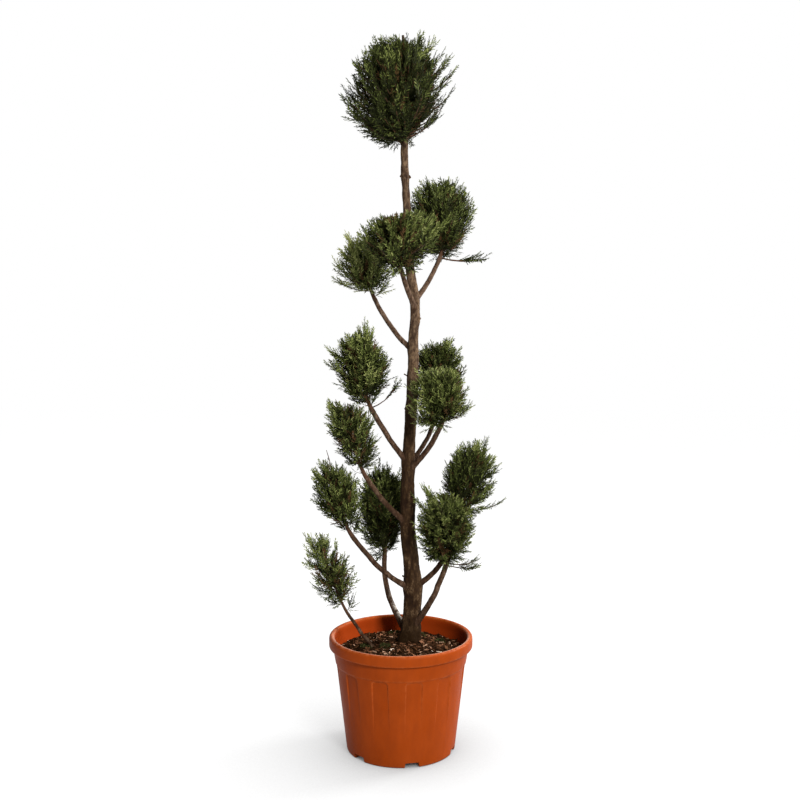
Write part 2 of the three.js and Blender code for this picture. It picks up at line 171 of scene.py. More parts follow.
# %% Lamps
KEY_PLACE, KEY_SIZE, KEY_POWER = (1.45, -3.26, 2.4), 1.0, 232.0
SIDE_PLACE, SIDE_SIZE, SIDE_POWER = (2.6, 1.3, 2.2), 1.0, 190.0
LAMP_AIM = (0.0, 0.0, 0.8)


def lamp(name, place, aim, size, power):
    """A square lamp at a place, turned so that it shines at another point."""
    data = bpy.data.lights.new(name, "AREA")
    data.size = size
    data.energy = power
    made = link(bpy.data.objects.new(name, data))
    made.location = place
    direction = Vector(aim) - Vector(place)
    made.rotation_euler = direction.to_track_quat("-Z", "Y").to_euler()
    return made


lamps = [lamp("key_lamp", KEY_PLACE, LAMP_AIM, KEY_SIZE, KEY_POWER),
         lamp("side_lamp", SIDE_PLACE, LAMP_AIM, SIDE_SIZE, SIDE_POWER)]
print("lamps", [made.name for made in lamps])

# %% [markdown]
# ## Limbs by rule
# Everything on the tree follows from a short table: the trunk's axis and girth at each height, and for each
# bough where it leaves, how far it reaches, and the ball at its end. Limbs could be drawn one by one, but a
# table is easy to read and to change, and the same rule carries on below to twigs and leaves. Angles are
# bearings, in degrees from +X towards +Y, and sizes are in millimetres as on a plan.

# %% Trunk and bough table
# A row of the trunk is a height, the axis there (x and y) and the radius. A stub is its height, bearing,
# length and radius.
TRUNK_ROWS = np.array([
    [250, 20, 30, 31], [300, 25, 30, 23], [337, 28, 30, 22], [392, 31, 28, 23.5], [446, 28, 27, 20.5],
    [554, 18, 25, 18.7], [626, 17, 22, 18], [697, 18, 20, 16.2], [803, 23, 18, 14.4], [968, 31, 15, 13.8],
    [1032, 31, 14, 12], [1110, 35, 12, 11.6], [1191, 24, 11, 11.2], [1329, 16, 8, 10], [1413, 11, 6, 8.9],
    [1494, 9, 5, 8.8], [1560, 13, 4, 7], [1756, 5, 0, 3],
]) * MM
SOIL_TOP = 262 * MM
STUBS = [(1416, 10, 15, 4), (1419, 175, 14, 4), (1072, -25, 18, 4.5), (848, 170, 19, 4), (614, -20, 23, 5),
         (928, 186, 27, 1.5), (414, 190, 33, 2)]


def limb(name, leaves, bearing, reach, rise, bow, sag, thick, ball, strays=(), lobes=(), foot=None, swing=0):
    """One row of the bough table."""
    return SimpleNamespace(name=name, leaves=leaves, bearing=bearing, reach=reach, rise=rise, bow=bow,
                           sag=sag, thick=thick, ball=ball, strays=strays, lobes=lobes, foot=foot,
                           swing=swing)


# A bough is its name, the height where it leaves the trunk, its bearing, reach and rise, how far its middle
# bows out and sags, its thickness at both ends, its ball, strays and lobes. A ball is its width, length,
# lean, the bearing it leans to, how far the bough's end is sunk in, its fill, and how much fresher and
# lighter its green is, partly its own green and partly painted light for a ball that stands in shade, as
# the upper left one does. A stray spray is its bearing, climb and distance from the ball's centre. A lobe is
# its bearing, climb and width, how much further the outline stands there, and the share of the plumes that
# is left out. One bough rises from the compost at a foot of its own, and one has its middle swung aside.
BOUGHS = [
    limb("upper_right", 1126, 42, 87, 108, 3, 8, (12.7, 11), (184, 228, 12, 80, 20, 1.0, -0.03),
         [(0, -45, 164), (4, -50, 150)], [(0, 90, 45, -0.14, 0.0), (-10, -55, 40, 0.12, 0.0)]),
    limb("upper_front", 1100, -113, 96, 102, 0, 0, (12.7, 11.3), (206, 160, 13, -97, 14, 0.95, 0.10),
         [(-5, 16, 130)],
         [(10, 25, 25, 0.12, 0.0), (0, 90, 45, -0.30, 0.0), (0, -90, 40, 0.24, 0.0),
          (-100, -32, 18, 0.0, 0.8)]),
    limb("upper_left", 1003, 157, 105, 126, 0, 16, (12.7, 11.5), (168, 184, 17, 159, 14, 0.60, 0.45),
         [(180, -31, 98), (180, 60, 106)], [(180, 50, 34, -0.22, 0.0), (0, 25, 45, -0.28, 0.2)]),
    limb("middle_left", 720, 206, 101, 140, 0, 8, (14, 12.5), (158, 230, 12, 202, 22, 0.9, 0.09),
         [(182, 30, 106), (186, 8, 104), (-10, -29, 112), (0, 88, 124), (180, 84, 114), (0, 80, 110)],
         [(0, 90, 40, -0.12, 0.0), (0, 48, 32, -0.26, 0.0), (180, 52, 22, -0.14, 0.0),
          (0, -30, 30, -0.10, 0.45), (0, -85, 30, 0.22, 0.0)]),
    limb("middle_right_front", 700, -43, 109, 124, 4, 8, (14, 12.5), (156, 174, 18, -98, 21, 1.0, 0.15),
         [(-10, -20, 92)],
         [(180, 0, 45, 0.10, 0.0), (185, -50, 35, 0.20, 0.0), (0, 90, 45, -0.16, 0.0),
          (0, 0, 40, -0.06, 0.0)]),
    limb("middle_right_rear", 714, 39, 103, 150, 12, 8, (12, 10.5), (146, 176, 4, 110, 6, 1.0, 0.04), (),
         [(0, 90, 40, -0.20, 0.0)]),
    limb("lower_middle_left", 566, 218, 130, 131, 0, 12, (14, 12), (124, 230, 18, 195, 6, 0.95, 0.07),
         [(185, 56, 110)], [(0, -80, 28, 0.16, 0.0)]),
    limb("lower_left", 398, 204, 165, 150, 0, 20, (14, 12), (128, 212, 20, 188, 6, 0.95, 0.08),
         [(180, 77, 148)], [(0, -35, 35, 0.12, 0.0), (0, -90, 30, 0.08, 0.0)]),
    limb("centre_rear", 280, 131, 99, 184, 30, 14, (15.5, 13), (138, 244, 8, 100, 6, 1.8, -0.10), (),
         [(0, 90, 40, -0.12, 0.0), (180, 5, 45, 0.12, 0.0), (0, -90, 30, 0.12, 0.0)]),
    limb("right_upper", 292, -4.8, 118.4, 305, 19.5, 14, (15.5, 12), (150, 240, 32, 52, 38, 0.85, -0.03),
         [(0, -38, 120), (0, 74, 112)], [(0, 90, 40, -0.10, 0.0), (0, 36, 28, -0.12, 0.0)], swing=-29.5),
    limb("right_lower", 404, -6, 72.5, 64, 0, 10, (15.5, 13), (154, 250, 27, -80, 24, 1.1, 0.09),
         [(212, 60, 146), (190, 66, 140), (180, 45, 120), (0, -54, 140), (-15, -46, 128)],
         [(185, -8, 40, 0.12, 0.25), (195, 40, 25, 0.0, 0.3), (0, -45, 30, 0.08, 0.1),
          (-85, -38, 16, 0.0, 0.8)]),
    limb("lowest_left", None, 201, 70, 98, 0, 2, (9, 8), (118, 240, 21, 195, 6, 0.63, 0.15),
         [(180, 74, 132)], [(0, 60, 28, -0.35, 0.85)], foot=(-65, -15)),
]
TOP_BALL = (262, 260, 0, 0, 0, 1.3, -0.18)
TOP_CENTRE = np.array([-2, 2, 1629]) * MM
TOP_STRAYS = [(185, -8, 146), (-8, 29, 155), (10, 18, 160), (-5, -7, 146), (5, -39, 128), (160, 70, 140),
              (200, -40, 150), (0, 38, 146), (-18, 8, 150), (-25, 22, 152), (8, -22, 136), (0, 68, 142),
              (-12, -44, 134), (12, -36, 136)]
TOP_LOBES = [(180, -15, 60, 0.05, 0.0), (185, -45, 30, 0.22, 0.0), (0, 5, 50, -0.20, 0.35),
             (180, 42, 22, -0.04, 0.0), (0, -48, 30, -0.06, 0.3), (0, 90, 45, -0.08, 0.0),
             (0, 66, 14, 0.12, 0.0)]
TOP_FORKS = np.array([[(13, 4, 1520), (50, 0, 1534), (66, -4, 1606)],
                      [(8, 4, 1498), (-22, 0, 1522), (-54, -8, 1534)],
                      [(12, 0, 1536), (34, -30, 1560), (40, -58, 1625)]]) * MM
FORK_GIRTH = np.array([(3.2, 1.4), (2.8, 1.2), (2.6, 1.0)]) * MM
print(len(BOUGHS), "boughs,", len(STUBS), "stubs")

# %% Directions and curves
UP = np.array([0.0, 0.0, 1.0])


def unit(vectors):
    """Vectors scaled to length one along their last axis."""
    return vectors / np.maximum(np.linalg.norm(vectors, axis=-1, keepdims=True), 1e-12)


def bearing_vector(bearing, climb=0.0):
    """The direction of a bearing that climbs above the level by an angle, both in degrees."""
    turn, lift = np.radians(bearing), np.radians(climb)
    return np.stack([np.cos(turn) * np.cos(lift), np.sin(turn) * np.cos(lift), np.sin(lift) + 0 * turn], -1)


def smoothstep(low, high, value):
    """Zero below low, one above high, and a smooth S between them."""
    share = np.clip((value - low) / (high - low), 0.0, 1.0)
    return share * share * (3 - 2 * share)


def bell(value, middle, width):
    """One at the middle, falling off on both sides as a bell of the given width."""
    return np.exp(-((value - middle) / width) ** 2)


def arc(start, middle, end, share):
    """A point on a quadratic curve and its direction there, for arrays of curves and shares."""
    share = share[..., None]
    point = (1 - share) ** 2 * start + 2 * share * (1 - share) * middle + share ** 2 * end
    along = 2 * (1 - share) * (middle - start) + 2 * share * (end - middle)
    return point, unit(along)


print("bearing 90 points to", np.round(bearing_vector(90.0), 3).tolist())

# %% Trunk and bough axes
FOOT_DEPTH, FOOT_HIDDEN = 8 * MM, 0.05
COLLAR_SWELL, COLLAR_SHARE = 0.45, 0.06


def trunk_axis(heights):
    """The trunk's centre at each height: a cubic through the table's rows, sloped by their neighbours."""
    rows = TRUNK_ROWS[:, 0]
    cell = np.clip(np.searchsorted(rows, heights) - 1, 0, len(rows) - 2)
    step = rows[cell + 1] - rows[cell]
    share = np.clip((heights - rows[cell]) / step, 0, 1)
    made = [heights]
    for column in (1, 2):
        values = TRUNK_ROWS[:, column]
        slope = np.gradient(values, rows)
        rise = smoothstep(0, 1, share)
        lead = share * (1 - share) ** 2 * step * slope[cell]
        trail = share ** 2 * (1 - share) * step * slope[cell + 1]
        made.append(values[cell] * (1 - rise) + values[cell + 1] * rise + lead - trail)
    return np.stack([made[1], made[2], made[0]], -1)


def trunk_radius(heights):
    """The trunk's girth radius, straight between the table's rows."""
    return np.interp(heights, TRUNK_ROWS[:, 0], TRUNK_ROWS[:, 3])


def bough_curve(bough):
    """A bough's start, middle and tip: it climbs from the trunk's axis, and bows, sags and swings midway."""
    if bough.foot:
        start = np.array([bough.foot[0] * MM, bough.foot[1] * MM, SOIL_TOP - FOOT_DEPTH])
    else:
        start = trunk_axis(np.array([bough.leaves * MM]))[0]
    outward = bearing_vector(bough.bearing)
    tip = start + outward * bough.reach * MM + UP * bough.rise * MM
    aside = bearing_vector(bough.bearing + 90)
    middle = (start + tip) / 2 + (outward * bough.bow + aside * bough.swing - UP * bough.sag) * 2 * MM
    return start, middle, tip


def near_foot(bough, share):
    """One inside the trunk's bark, dying away along the bough from where it comes out."""
    hidden = FOOT_HIDDEN
    if bough.leaves:
        hidden = trunk_radius(bough.leaves * MM) / np.hypot(bough.reach, bough.rise) / MM
    return np.exp(-np.maximum(share - hidden, 0) / COLLAR_SHARE)


def bough_radius(bough, share):
    """Half the thickness along a bough, with a collar at its foot."""
    base, end = bough.thick
    return (base + (end - base) * share) / 2 * MM * (1 + COLLAR_SWELL * near_foot(bough, share))


print("trunk tip", np.round(trunk_axis(np.array([1.756])), 3).tolist())

# %% [markdown]
# ## Surfaces from arrays
# A shape here is a grid of points: one parameter runs along it and one runs round it. Closing the grid round
# and putting a single point at each end gives a watertight skin. The random field below gives bark and
# compost their relief in the mesh itself, so the shape is there for every renderer.

# %% Mesh helpers


def put_mesh(name, points, quads=None, triangles=None, materials=(), shades=None, smooth=True):
    """Makes an object from arrays of points and faces, with a material number for each face in shades."""
    quads = np.zeros((0, 4), np.int32) if quads is None else np.asarray(quads, np.int32)
    triangles = np.zeros((0, 3), np.int32) if triangles is None else np.asarray(triangles, np.int32)
    mesh = bpy.data.meshes.new(name)
    mesh.vertices.add(len(points))
    mesh.vertices.foreach_set("co", np.ascontiguousarray(points, np.float32).ravel())
    mesh.loops.add(quads.size + triangles.size)
    mesh.loops.foreach_set("vertex_index", np.concatenate([quads.ravel(), triangles.ravel()]))
    starts = np.concatenate([np.arange(len(quads)) * 4, quads.size + np.arange(len(triangles)) * 3])
    mesh.polygons.add(len(starts))
    mesh.polygons.foreach_set("loop_start", starts.astype(np.int32))
    if shades is not None:
        mesh.polygons.foreach_set("material_index", np.asarray(shades, np.int32))
    mesh.polygons.foreach_set("use_smooth", np.full(len(starts), smooth))
    mesh.update(calc_edges=True)
    for material in materials:
        mesh.materials.append(material)
    return link(bpy.data.objects.new(name, mesh))


def tube_faces(rows, columns):
    """Faces of a grid closed round its columns, with fans to a first and a last point after the grid."""
    here = np.arange(rows * columns).reshape(rows, columns)
    beside = np.roll(here, -1, axis=1)
    quads = np.stack([here[:-1], beside[:-1], beside[1:], here[1:]], -1).reshape(-1, 4)
    first, last = rows * columns, rows * columns + 1
    low = np.stack([beside[0], here[0], np.full(columns, first)], -1)
    high = np.stack([here[-1], beside[-1], np.full(columns, last)], -1)
    return quads, np.concatenate([low, high])


print("a tube of 3 by 4 has", sum(len(faces) for faces in tube_faces(3, 4)), "faces")

# %% Random field
LATTICE_VALUES = 4099
LATTICE_PRIMES = np.array([7919, 104729, 1299709])


def smooth_field(points, cell, seed):
    """A smooth random field from -1 to 1: random lattice values, blended across each cell by an S curve.

    A lattice point takes its value from a table, at the sum of its steps times three primes.
    """
    table = np.random.default_rng(seed).uniform(-1, 1, LATTICE_VALUES)
    place = np.asarray(points) / cell
    corner = np.floor(place).astype(np.int64)
    blend = smoothstep(0, 1, place - corner)
    total = np.zeros(place.shape[:-1])
    for step in np.ndindex(2, 2, 2):
        at = corner + np.array(step)
        weight = np.where(np.array(step), blend, 1 - blend).prod(-1)
        total += weight * table[(at * LATTICE_PRIMES).sum(-1) % len(table)]
    return total


print("field at the origin", round(float(smooth_field(np.zeros(3), 1.0, 1)), 3))

# %% Marks and keeping


def mark(piece, name, values):
    """Keeps one number for each point of a piece, which its material can read by name."""
    attribute = piece.data.attributes.new(name, "FLOAT", "POINT")
    attribute.data.foreach_set("value", np.asarray(values, np.float32))


def keep(piece, slot, *nodes):
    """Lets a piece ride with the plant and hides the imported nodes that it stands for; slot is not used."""
    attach(piece, "root")
    if nodes:
        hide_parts(*nodes)
    return piece


# %% [markdown]
# ## Finishes
# Moulded plastic, bark and compost all show a cloudy change of tone and a fine grain. Both are made once as
# shader groups, mottle and grain, and each material places them with its own scale. Leaves get plain colours
# instead, because their variety comes from many small faces, each shoot with a tint of its own.

# %% Shader groups


def new_group(name, inputs, output):
    """An empty shader group with named float or vector inputs and one float output."""
    group = bpy.data.node_groups.new(name, "ShaderNodeTree")
    for socket, kind, value in inputs:
        made = group.interface.new_socket(socket, in_out="INPUT", socket_type=kind)
        made.default_value = value
    group.interface.new_socket(output, in_out="OUTPUT", socket_type="NodeSocketFloat")
    return group, group.nodes.new("NodeGroupInput"), group.nodes.new("NodeGroupOutput")


def mottle_group():
    """A cloudy mask: noise on stretched coordinates, drawn out to 0 and 1 a spread either side of a half."""
    inputs = [("Vector", "NodeSocketVector", (0, 0, 0)), ("Stretch", "NodeSocketVector", (1, 1, 1)),
              ("Scale", "NodeSocketFloat", 40.0), ("Spread", "NodeSocketFloat", 0.18)]
    group, entry, leave = new_group("mottle", inputs, "Mask")
    stretch = group.nodes.new("ShaderNodeVectorMath")
    stretch.operation = "MULTIPLY"
    noise = group.nodes.new("ShaderNodeTexNoise")
    noise.inputs["Detail"].default_value = 4.0
    spread = group.nodes.new("ShaderNodeMapRange")
    for operation, bound in (("SUBTRACT", "From Min"), ("ADD", "From Max")):
        half = math_node(group.nodes, operation, 0.5)
        group.links.new(entry.outputs["Spread"], half.inputs[1])
        group.links.new(half.outputs[0], spread.inputs[bound])
    group.links.new(entry.outputs["Vector"], stretch.inputs[0])
    group.links.new(entry.outputs["Stretch"], stretch.inputs[1])
    group.links.new(stretch.outputs[0], noise.inputs["Vector"])
    group.links.new(entry.outputs["Scale"], noise.inputs["Scale"])
    group.links.new(noise.outputs["Fac"], spread.inputs["Value"])
    group.links.new(spread.outputs["Result"], leave.inputs["Mask"])
    return group


def grain_group():
    """A fine height for bump: two octaves of noise, the second four times finer and half as strong."""
    inputs = [("Vector", "NodeSocketVector", (0, 0, 0)), ("Scale", "NodeSocketFloat", 600.0)]
    group, entry, leave = new_group("grain", inputs, "Height")
    coarse = group.nodes.new("ShaderNodeTexNoise")
    fine = group.nodes.new("ShaderNodeTexNoise")
    finer = math_node(group.nodes, "MULTIPLY", None, 4.0)
    half = math_node(group.nodes, "MULTIPLY_ADD", None, 0.5)
    group.links.new(entry.outputs["Vector"], coarse.inputs["Vector"])
    group.links.new(entry.outputs["Vector"], fine.inputs["Vector"])
    group.links.new(entry.outputs["Scale"], coarse.inputs["Scale"])
    group.links.new(entry.outputs["Scale"], finer.inputs[0])
    group.links.new(finer.outputs[0], fine.inputs["Scale"])
    group.links.new(fine.outputs["Fac"], half.inputs[0])
    group.links.new(coarse.outputs["Fac"], half.inputs[2])
    group.links.new(half.outputs[0], leave.inputs["Height"])
    return group


MOTTLE = mottle_group()
GRAIN = grain_group()
print("groups", MOTTLE.name, GRAIN.name)

# %% Layered material
BUMP_STRENGTH = 0.6


def layered_material(name, base, layers, roughness, grain_scale, grain_depth, specular=0.5, spread=0.18):
    """A base colour with layers mixed over it, and a grain bump.

    A layer is a colour and its mask. The mask is a mottle (scale, stretch) or a value marked on the mesh,
    or both multiplied, times a strength.
    """
    material = plain_material(name, base, sum(roughness) / 2, specular)
    nodes, links = material.node_tree.nodes, material.node_tree.links
    shader = nodes["Principled BSDF"]
    place = nodes.new("ShaderNodeTexCoord").outputs["Object"]
    colour = None
    first_mask = None
    for tone, scale, stretch, marked, strength in layers:
        mask = math_node(nodes, "MULTIPLY", 1.0, strength)
        if scale:
            cloud = nodes.new("ShaderNodeGroup")
            cloud.node_tree = MOTTLE
            cloud.inputs["Scale"].default_value = scale
            cloud.inputs["Spread"].default_value = spread
            cloud.inputs["Stretch"].default_value = stretch
            links.new(place, cloud.inputs["Vector"])
            links.new(cloud.outputs["Mask"], mask.inputs[0])
            first_mask = first_mask or cloud.outputs["Mask"]
        if marked:
            value = nodes.new("ShaderNodeAttribute")
            value.attribute_name = marked
            both = math_node(nodes, "MULTIPLY")
            links.new(mask.outputs[0], both.inputs[0])
            links.new(value.outputs["Fac"], both.inputs[1])
            mask = both
        mix = nodes.new("ShaderNodeMix")
        mix.data_type = "RGBA"
        mix.inputs["A"].default_value = (*base, 1.0)
        mix.inputs["B"].default_value = (*tone, 1.0)
        links.new(mask.outputs[0], mix.inputs["Factor"])
        if colour:
            links.new(colour, mix.inputs["A"])
        colour = mix.outputs["Result"]
    links.new(colour, shader.inputs["Base Color"])
    rough = nodes.new("ShaderNodeMapRange")
    rough.inputs["To Min"].default_value = roughness[0]
    rough.inputs["To Max"].default_value = roughness[1]
    links.new(first_mask, rough.inputs["Value"])
    links.new(rough.outputs["Result"], shader.inputs["Roughness"])
    fine = nodes.new("ShaderNodeGroup")
    fine.node_tree = GRAIN
    fine.inputs["Scale"].default_value = grain_scale
    links.new(place, fine.inputs["Vector"])
    bump = nodes.new("ShaderNodeBump")
    bump.inputs["Strength"].default_value = BUMP_STRENGTH
    bump.inputs["Distance"].default_value = grain_depth
    links.new(fine.outputs["Height"], bump.inputs["Height"])
    links.new(bump.outputs["Normal"], shader.inputs["Normal"])
    return material


print("layered material ready")

# %% Bark, plastic and compost
# A layer is its colour, the scale and stretch of its clouds, the mark that it follows and its strength.
EVEN = (1.0, 1.0, 1.0)
terracotta = layered_material(
    "terracotta_plastic", (0.214, 0.031, 0.0020),
    [((0.246, 0.0385, 0.0040), 14, EVEN, None, 0.8),
     ((0.160, 0.024, 0.003), 60, (1, 1, 0.35), None, 0.35),
     ((0.40, 0.105, 0.030), 90, EVEN, "wear", 0.7),
     # Painted light and shade: a redder inside tone, tuned to how the pot's inside looks in its light.
     ((0.22, 0.024, 0.003), None, EVEN, "inside", 0.7),
     # A painted sheen on the lip, from the front to a little behind the middle.
     ((0.60, 0.34, 0.25), None, EVEN, "painted_lip_sheen", 0.75)],
    roughness=(0.36, 0.52), grain_scale=900, grain_depth=0.00012, specular=0.03)
trunk_finish = layered_material(
    "trunk_bark", (0.052, 0.030, 0.018),
    [((0.150, 0.098, 0.058), 100, (1, 1, 0.45), None, 0.75),
     # Darker low down, partly painted shade of the foliage above and partly damp bark; painted shade in the
     # furrows and a painted highlight on the ridges.
     ((0.026, 0.0124, 0.0040), None, EVEN, "low", 0.83),
     ((0.014, 0.007, 0.004), None, EVEN, "furrow_shade", 0.7),
     ((0.012, 0.006, 0.004), 230, (1, 1, 0.6), None, 0.5),
     ((0.19, 0.120, 0.064), 330, (1, 1, 0.8), "ridge", 0.38),
     ((0.012, 0.0056, 0.0016), None, EVEN, "damp", 0.85)],
    roughness=(0.65, 0.90), grain_scale=420, grain_depth=0.0014, specular=0.03, spread=0.08)
bough_finish = layered_material(
    "bough_bark", (0.060, 0.034, 0.020),
    [((0.135, 0.086, 0.057), 110, (1, 1, 0.45), None, 0.75),
     # Darker low down (partly painted shade of the foliage above, partly damp) and near the foot; painted
     # shade in the furrows and a painted highlight on the ridges.
     ((0.036, 0.016, 0.007), None, EVEN, "low", 0.60),
     ((0.016, 0.008, 0.005), None, EVEN, "furrow_shade", 0.6),
     ((0.014, 0.007, 0.004), 260, EVEN, None, 0.45),
     ((0.19, 0.13, 0.090), 300, EVEN, "ridge", 0.45),
     # A painted highlight down one side of the centre rear bough.
     ((0.56, 0.50, 0.43), 160, (1, 1, 0.4), "side_highlight", 0.95)],
    roughness=(0.70, 0.92), grain_scale=520, grain_depth=0.0009, specular=0.03, spread=0.09)
compost_finish = layered_material(
    "compost", (0.018, 0.008, 0.004),
    [((0.048, 0.023, 0.011), 120, EVEN, None, 0.9), ((0.005, 0.003, 0.002), 300, EVEN, None, 0.7)],
    roughness=(0.85, 1.0), grain_scale=380, grain_depth=0.0015, specular=0.0)
print("layered finishes ready")

# %% [markdown]
# ## Pot
# The real pot is injection-moulded, with a rolled rim, a band under it, twelve shallow panels that fade out
# downward and six drain notches. It could be turned and cut with booleans. Here one grid does it: a profile
# is carried round the axis, the panels push the wall in, and the notches lift the foot. The columns crowd at
# the panels' edges, so the edges stay crisp. Values marked on the points tell the finish which edges are
# worn, where the inside begins, which takes a redder tone of painted light and shade, and where the lip
# carries a painted sheen.

# %% Pot values
POT_WALL = np.array([[5, 137], [206, 160], [220, 161.9], [223.5, 164], [234, 166], [261, 170]])
WALL_THICKNESS = 4.5
FLOOR_TOP = 18
RIM = [(171.5, 261.3), (176.5, 261.5), (178.6, 262.3), (179.7, 264), (180, 267), (180, 275), (180, 282),
       (179.4, 285.2), (177.8, 287.6), (175, 288.8), (171.5, 289), (168.6, 288), (166.6, 285.5),
       (165.6, 281.5)]
INSIDE_ROWS = 14
PANEL_COUNT, PANEL_TURN, PANEL_HALF, PANEL_CORNER = 12, 11.5, 20.0, 9.0
PANEL_BOTTOM, PANEL_TOP, PANEL_DEPTH = 80.0, 219.0, 2.8
NOTCH_HEIGHT, NOTCH_EDGE, NOTCH_INNER = 13.0, (17.6, 16.4), (98, 103.5)
HALF_COLUMNS = np.array([9, 16.4, 17.6, 18.6, 19.6, 20.3, 21, 22])
PANEL_COLUMNS = np.concatenate([-HALF_COLUMNS[::-1], [0], HALF_COLUMNS])
RIB_SHARES = np.array([0.2, 0.4, 0.6, 0.8])


def wall_radius(height):
    """The outside radius at a height, straight between the listed heights."""
    return np.interp(height, POT_WALL[:, 0], POT_WALL[:, 1])


def pot_profile():
    """The pot's outline as radius and height: under the foot, up the wall, over the rim, down inside."""
    foot = [(60, 0), (98, 0), (101, 0), (103.5, 0), (118, 0), (132, 0), (134.6, 0.5), (136.2, 2)]
    heights = np.concatenate([[5, 8, 11, 12.4, 13.6, 16], np.linspace(22, 200, 24), np.linspace(203, 226, 20),
                              [230, 234, 245, 255, 259.5, 261]])
    wall = np.stack([wall_radius(heights), heights], -1)
    inner = np.array([276, 268, 261, 250, 240, 225, 206, 160, 110, 60, 24])
    inside = np.stack([np.minimum(wall_radius(inner) - WALL_THICKNESS, 165.5), inner], -1)
    floor_rows = [(132, 19.5), (128, FLOOR_TOP), (60, FLOOR_TOP)]
    return np.concatenate([foot, wall, RIM, inside, floor_rows])


profile = pot_profile()
print("pot profile", len(profile), "rows")

# %% Pot surface


def pot_surface():
    """The pot as a grid of turn and profile.

    A column is a distance across its panel, so its turn is the angle whose sine is that distance over the
    radius; the columns between two panels share out the angle that is left. The wall moves in by the panel's
    depth, which grows evenly from the panel's foot to its top, and the foot is lifted to the notch's height
    in every other panel.
    """
    radius, height = profile[:, 0][:, None], profile[:, 1][:, None]
    period = 2 * np.pi / PANEL_COUNT
    panel_angle = np.arcsin(np.clip(PANEL_COLUMNS / np.maximum(radius, 60), -1, 1))
    edge = panel_angle[:, -1:]
    rib_angle = edge + (period - 2 * edge) * RIB_SHARES
    across = np.concatenate([PANEL_COLUMNS, np.full(len(RIB_SHARES), PANEL_HALF * 2)])
    one = np.concatenate([panel_angle, rib_angle], 1)
    turns = np.radians(PANEL_TURN) + np.arange(PANEL_COUNT)[:, None] * period
    angle = (one[:, None, :] + turns).reshape(len(profile), -1)
    across = np.tile(across, PANEL_COUNT)
    notched = np.repeat(np.arange(PANEL_COUNT) % 2 == 0, len(PANEL_COLUMNS) + len(RIB_SHARES))
    beyond_x = np.abs(across) - (PANEL_HALF - PANEL_CORNER)
    beyond_z = height - (PANEL_TOP - PANEL_CORNER)
    outside = np.hypot(np.maximum(beyond_x, 0), np.maximum(beyond_z, 0)) - PANEL_CORNER
    gap = outside + np.minimum(np.maximum(beyond_x, beyond_z), 0)
    grows = np.clip((height - PANEL_BOTTOM) / (PANEL_TOP - PANEL_BOTTOM), 0, 1)
    on_wall = (np.arange(len(profile)) < len(profile) - len(RIM) - INSIDE_ROWS)[:, None]
    recess = PANEL_DEPTH * grows * smoothstep(0.9, -0.9, gap) * on_wall
    notch = smoothstep(*NOTCH_EDGE, np.abs(across)) * smoothstep(*NOTCH_INNER, radius) * notched
    lifted = np.where(on_wall, np.maximum(height, NOTCH_HEIGHT * notch), height + 0 * notch)
    turned = radius - recess
    points = np.stack([turned * np.sin(angle), -turned * np.cos(angle), lifted], -1)
    panel_edge = bell(gap, 0, 1.6) * grows * on_wall
    return points * MM, panel_edge


pot_points, panel_edge = pot_surface()
rows, columns = pot_points.shape[:2]
quads, fans = tube_faces(rows, columns)
poles = np.array([[0, 0, 0], [0, 0, FLOOR_TOP * MM]])
pot = put_mesh("pot_shell", np.concatenate([pot_points.reshape(-1, 3), poles]), quads, fans, [terracotta])
keep(pot, "pot_plastic", "pot")
print("pot", len(pot.data.polygons), "faces")

# %% Worn edges and painted lip sheen
# A worn line is its height on the pot, its width and its strength. The rim's line and the lip lie only on the
# rim's own rows. The lip carries a painted sheen, pale from the front to a little behind the middle.
PANEL_WEAR = 0.5
RIM_LINE, RIM_ROWS = (289, 2.5), 8
WEAR_LINES = [(263, 1.6, 0.5), (223, 2.0, 0.4), (2, 4.0, 0.3)]
LIP_SHEEN_LINE, LIP_SHEEN_FRONT = (169.5, 2.6), (0.06, -0.08)
level = profile[:, 1][:, None] + 0 * panel_edge
row = np.arange(rows)[:, None]
is_rim = np.abs(row - (rows - INSIDE_ROWS - len(RIM) // 2)) < RIM_ROWS
wear = PANEL_WEAR * panel_edge + bell(level, *RIM_LINE) * is_rim
for line_height, line_width, strength in WEAR_LINES:
    wear += strength * bell(level, line_height, line_width)
# The inside rows take the finish's tone of painted light and shade.
inside = (row > rows - INSIDE_ROWS - 2) + 0 * level
painted_lip_sheen = bell(profile[:, :1], *LIP_SHEEN_LINE) * is_rim * smoothstep(*LIP_SHEEN_FRONT, pot_points[..., 1])
mark(pot, "wear", np.append(wear.ravel(), [0, 0]))
mark(pot, "inside", np.append(inside.ravel(), [0, 1]))
mark(pot, "painted_lip_sheen", np.append(painted_lip_sheen.ravel(), [0, 0]))
print("worn points", int((wear > PANEL_WEAR / 2).sum()), "pale points", int((painted_lip_sheen > PANEL_WEAR).sum()))

# %% [markdown]
# ## Compost
# Nursery compost is dark, with bark chips, pale fibres and some moss. The ground is a round height field that
# is flat at the trunk and sinks to the wall. Chips and fibres are small eight-cornered shards laid flat with
# some tilt, six faces each, and a chip takes one of six grained tints. Moss could be a bump in the finish,
# but tufts of short pointed blades keep their shape from every side.

# %% Ground
SOIL_EDGE = 246 * MM
SOIL_SEAT = 80 * MM
GROUND_RADIUS = 163 * MM
GROUND_DEPTH = 15 * MM
GROUND_ROWS, GROUND_COLUMNS = 46, 132
FIRST_RING, RING_CROWDING, SKIRT_SHRINK = 0.02, 0.8, 0.97
# A lump is its height, the distance to the next one, both in millimetres, and the seed of its field.
LUMPS = [(3.2, 17, 5), (1.6, 6, 6)]


def ground_height(x, y):
    """The compost's height: level round the trunk, falling to the wall, with lumps of two sizes."""
    radius = np.hypot(x, y)
    fall = smoothstep(SOIL_SEAT, GROUND_RADIUS, radius)
    place = np.stack([x, y, 0 * x], -1)
    lumps = sum(tall * smooth_field(place, across * MM, seed) for tall, across, seed in LUMPS)
    return SOIL_TOP + (SOIL_EDGE - SOIL_TOP) * fall + lumps * MM


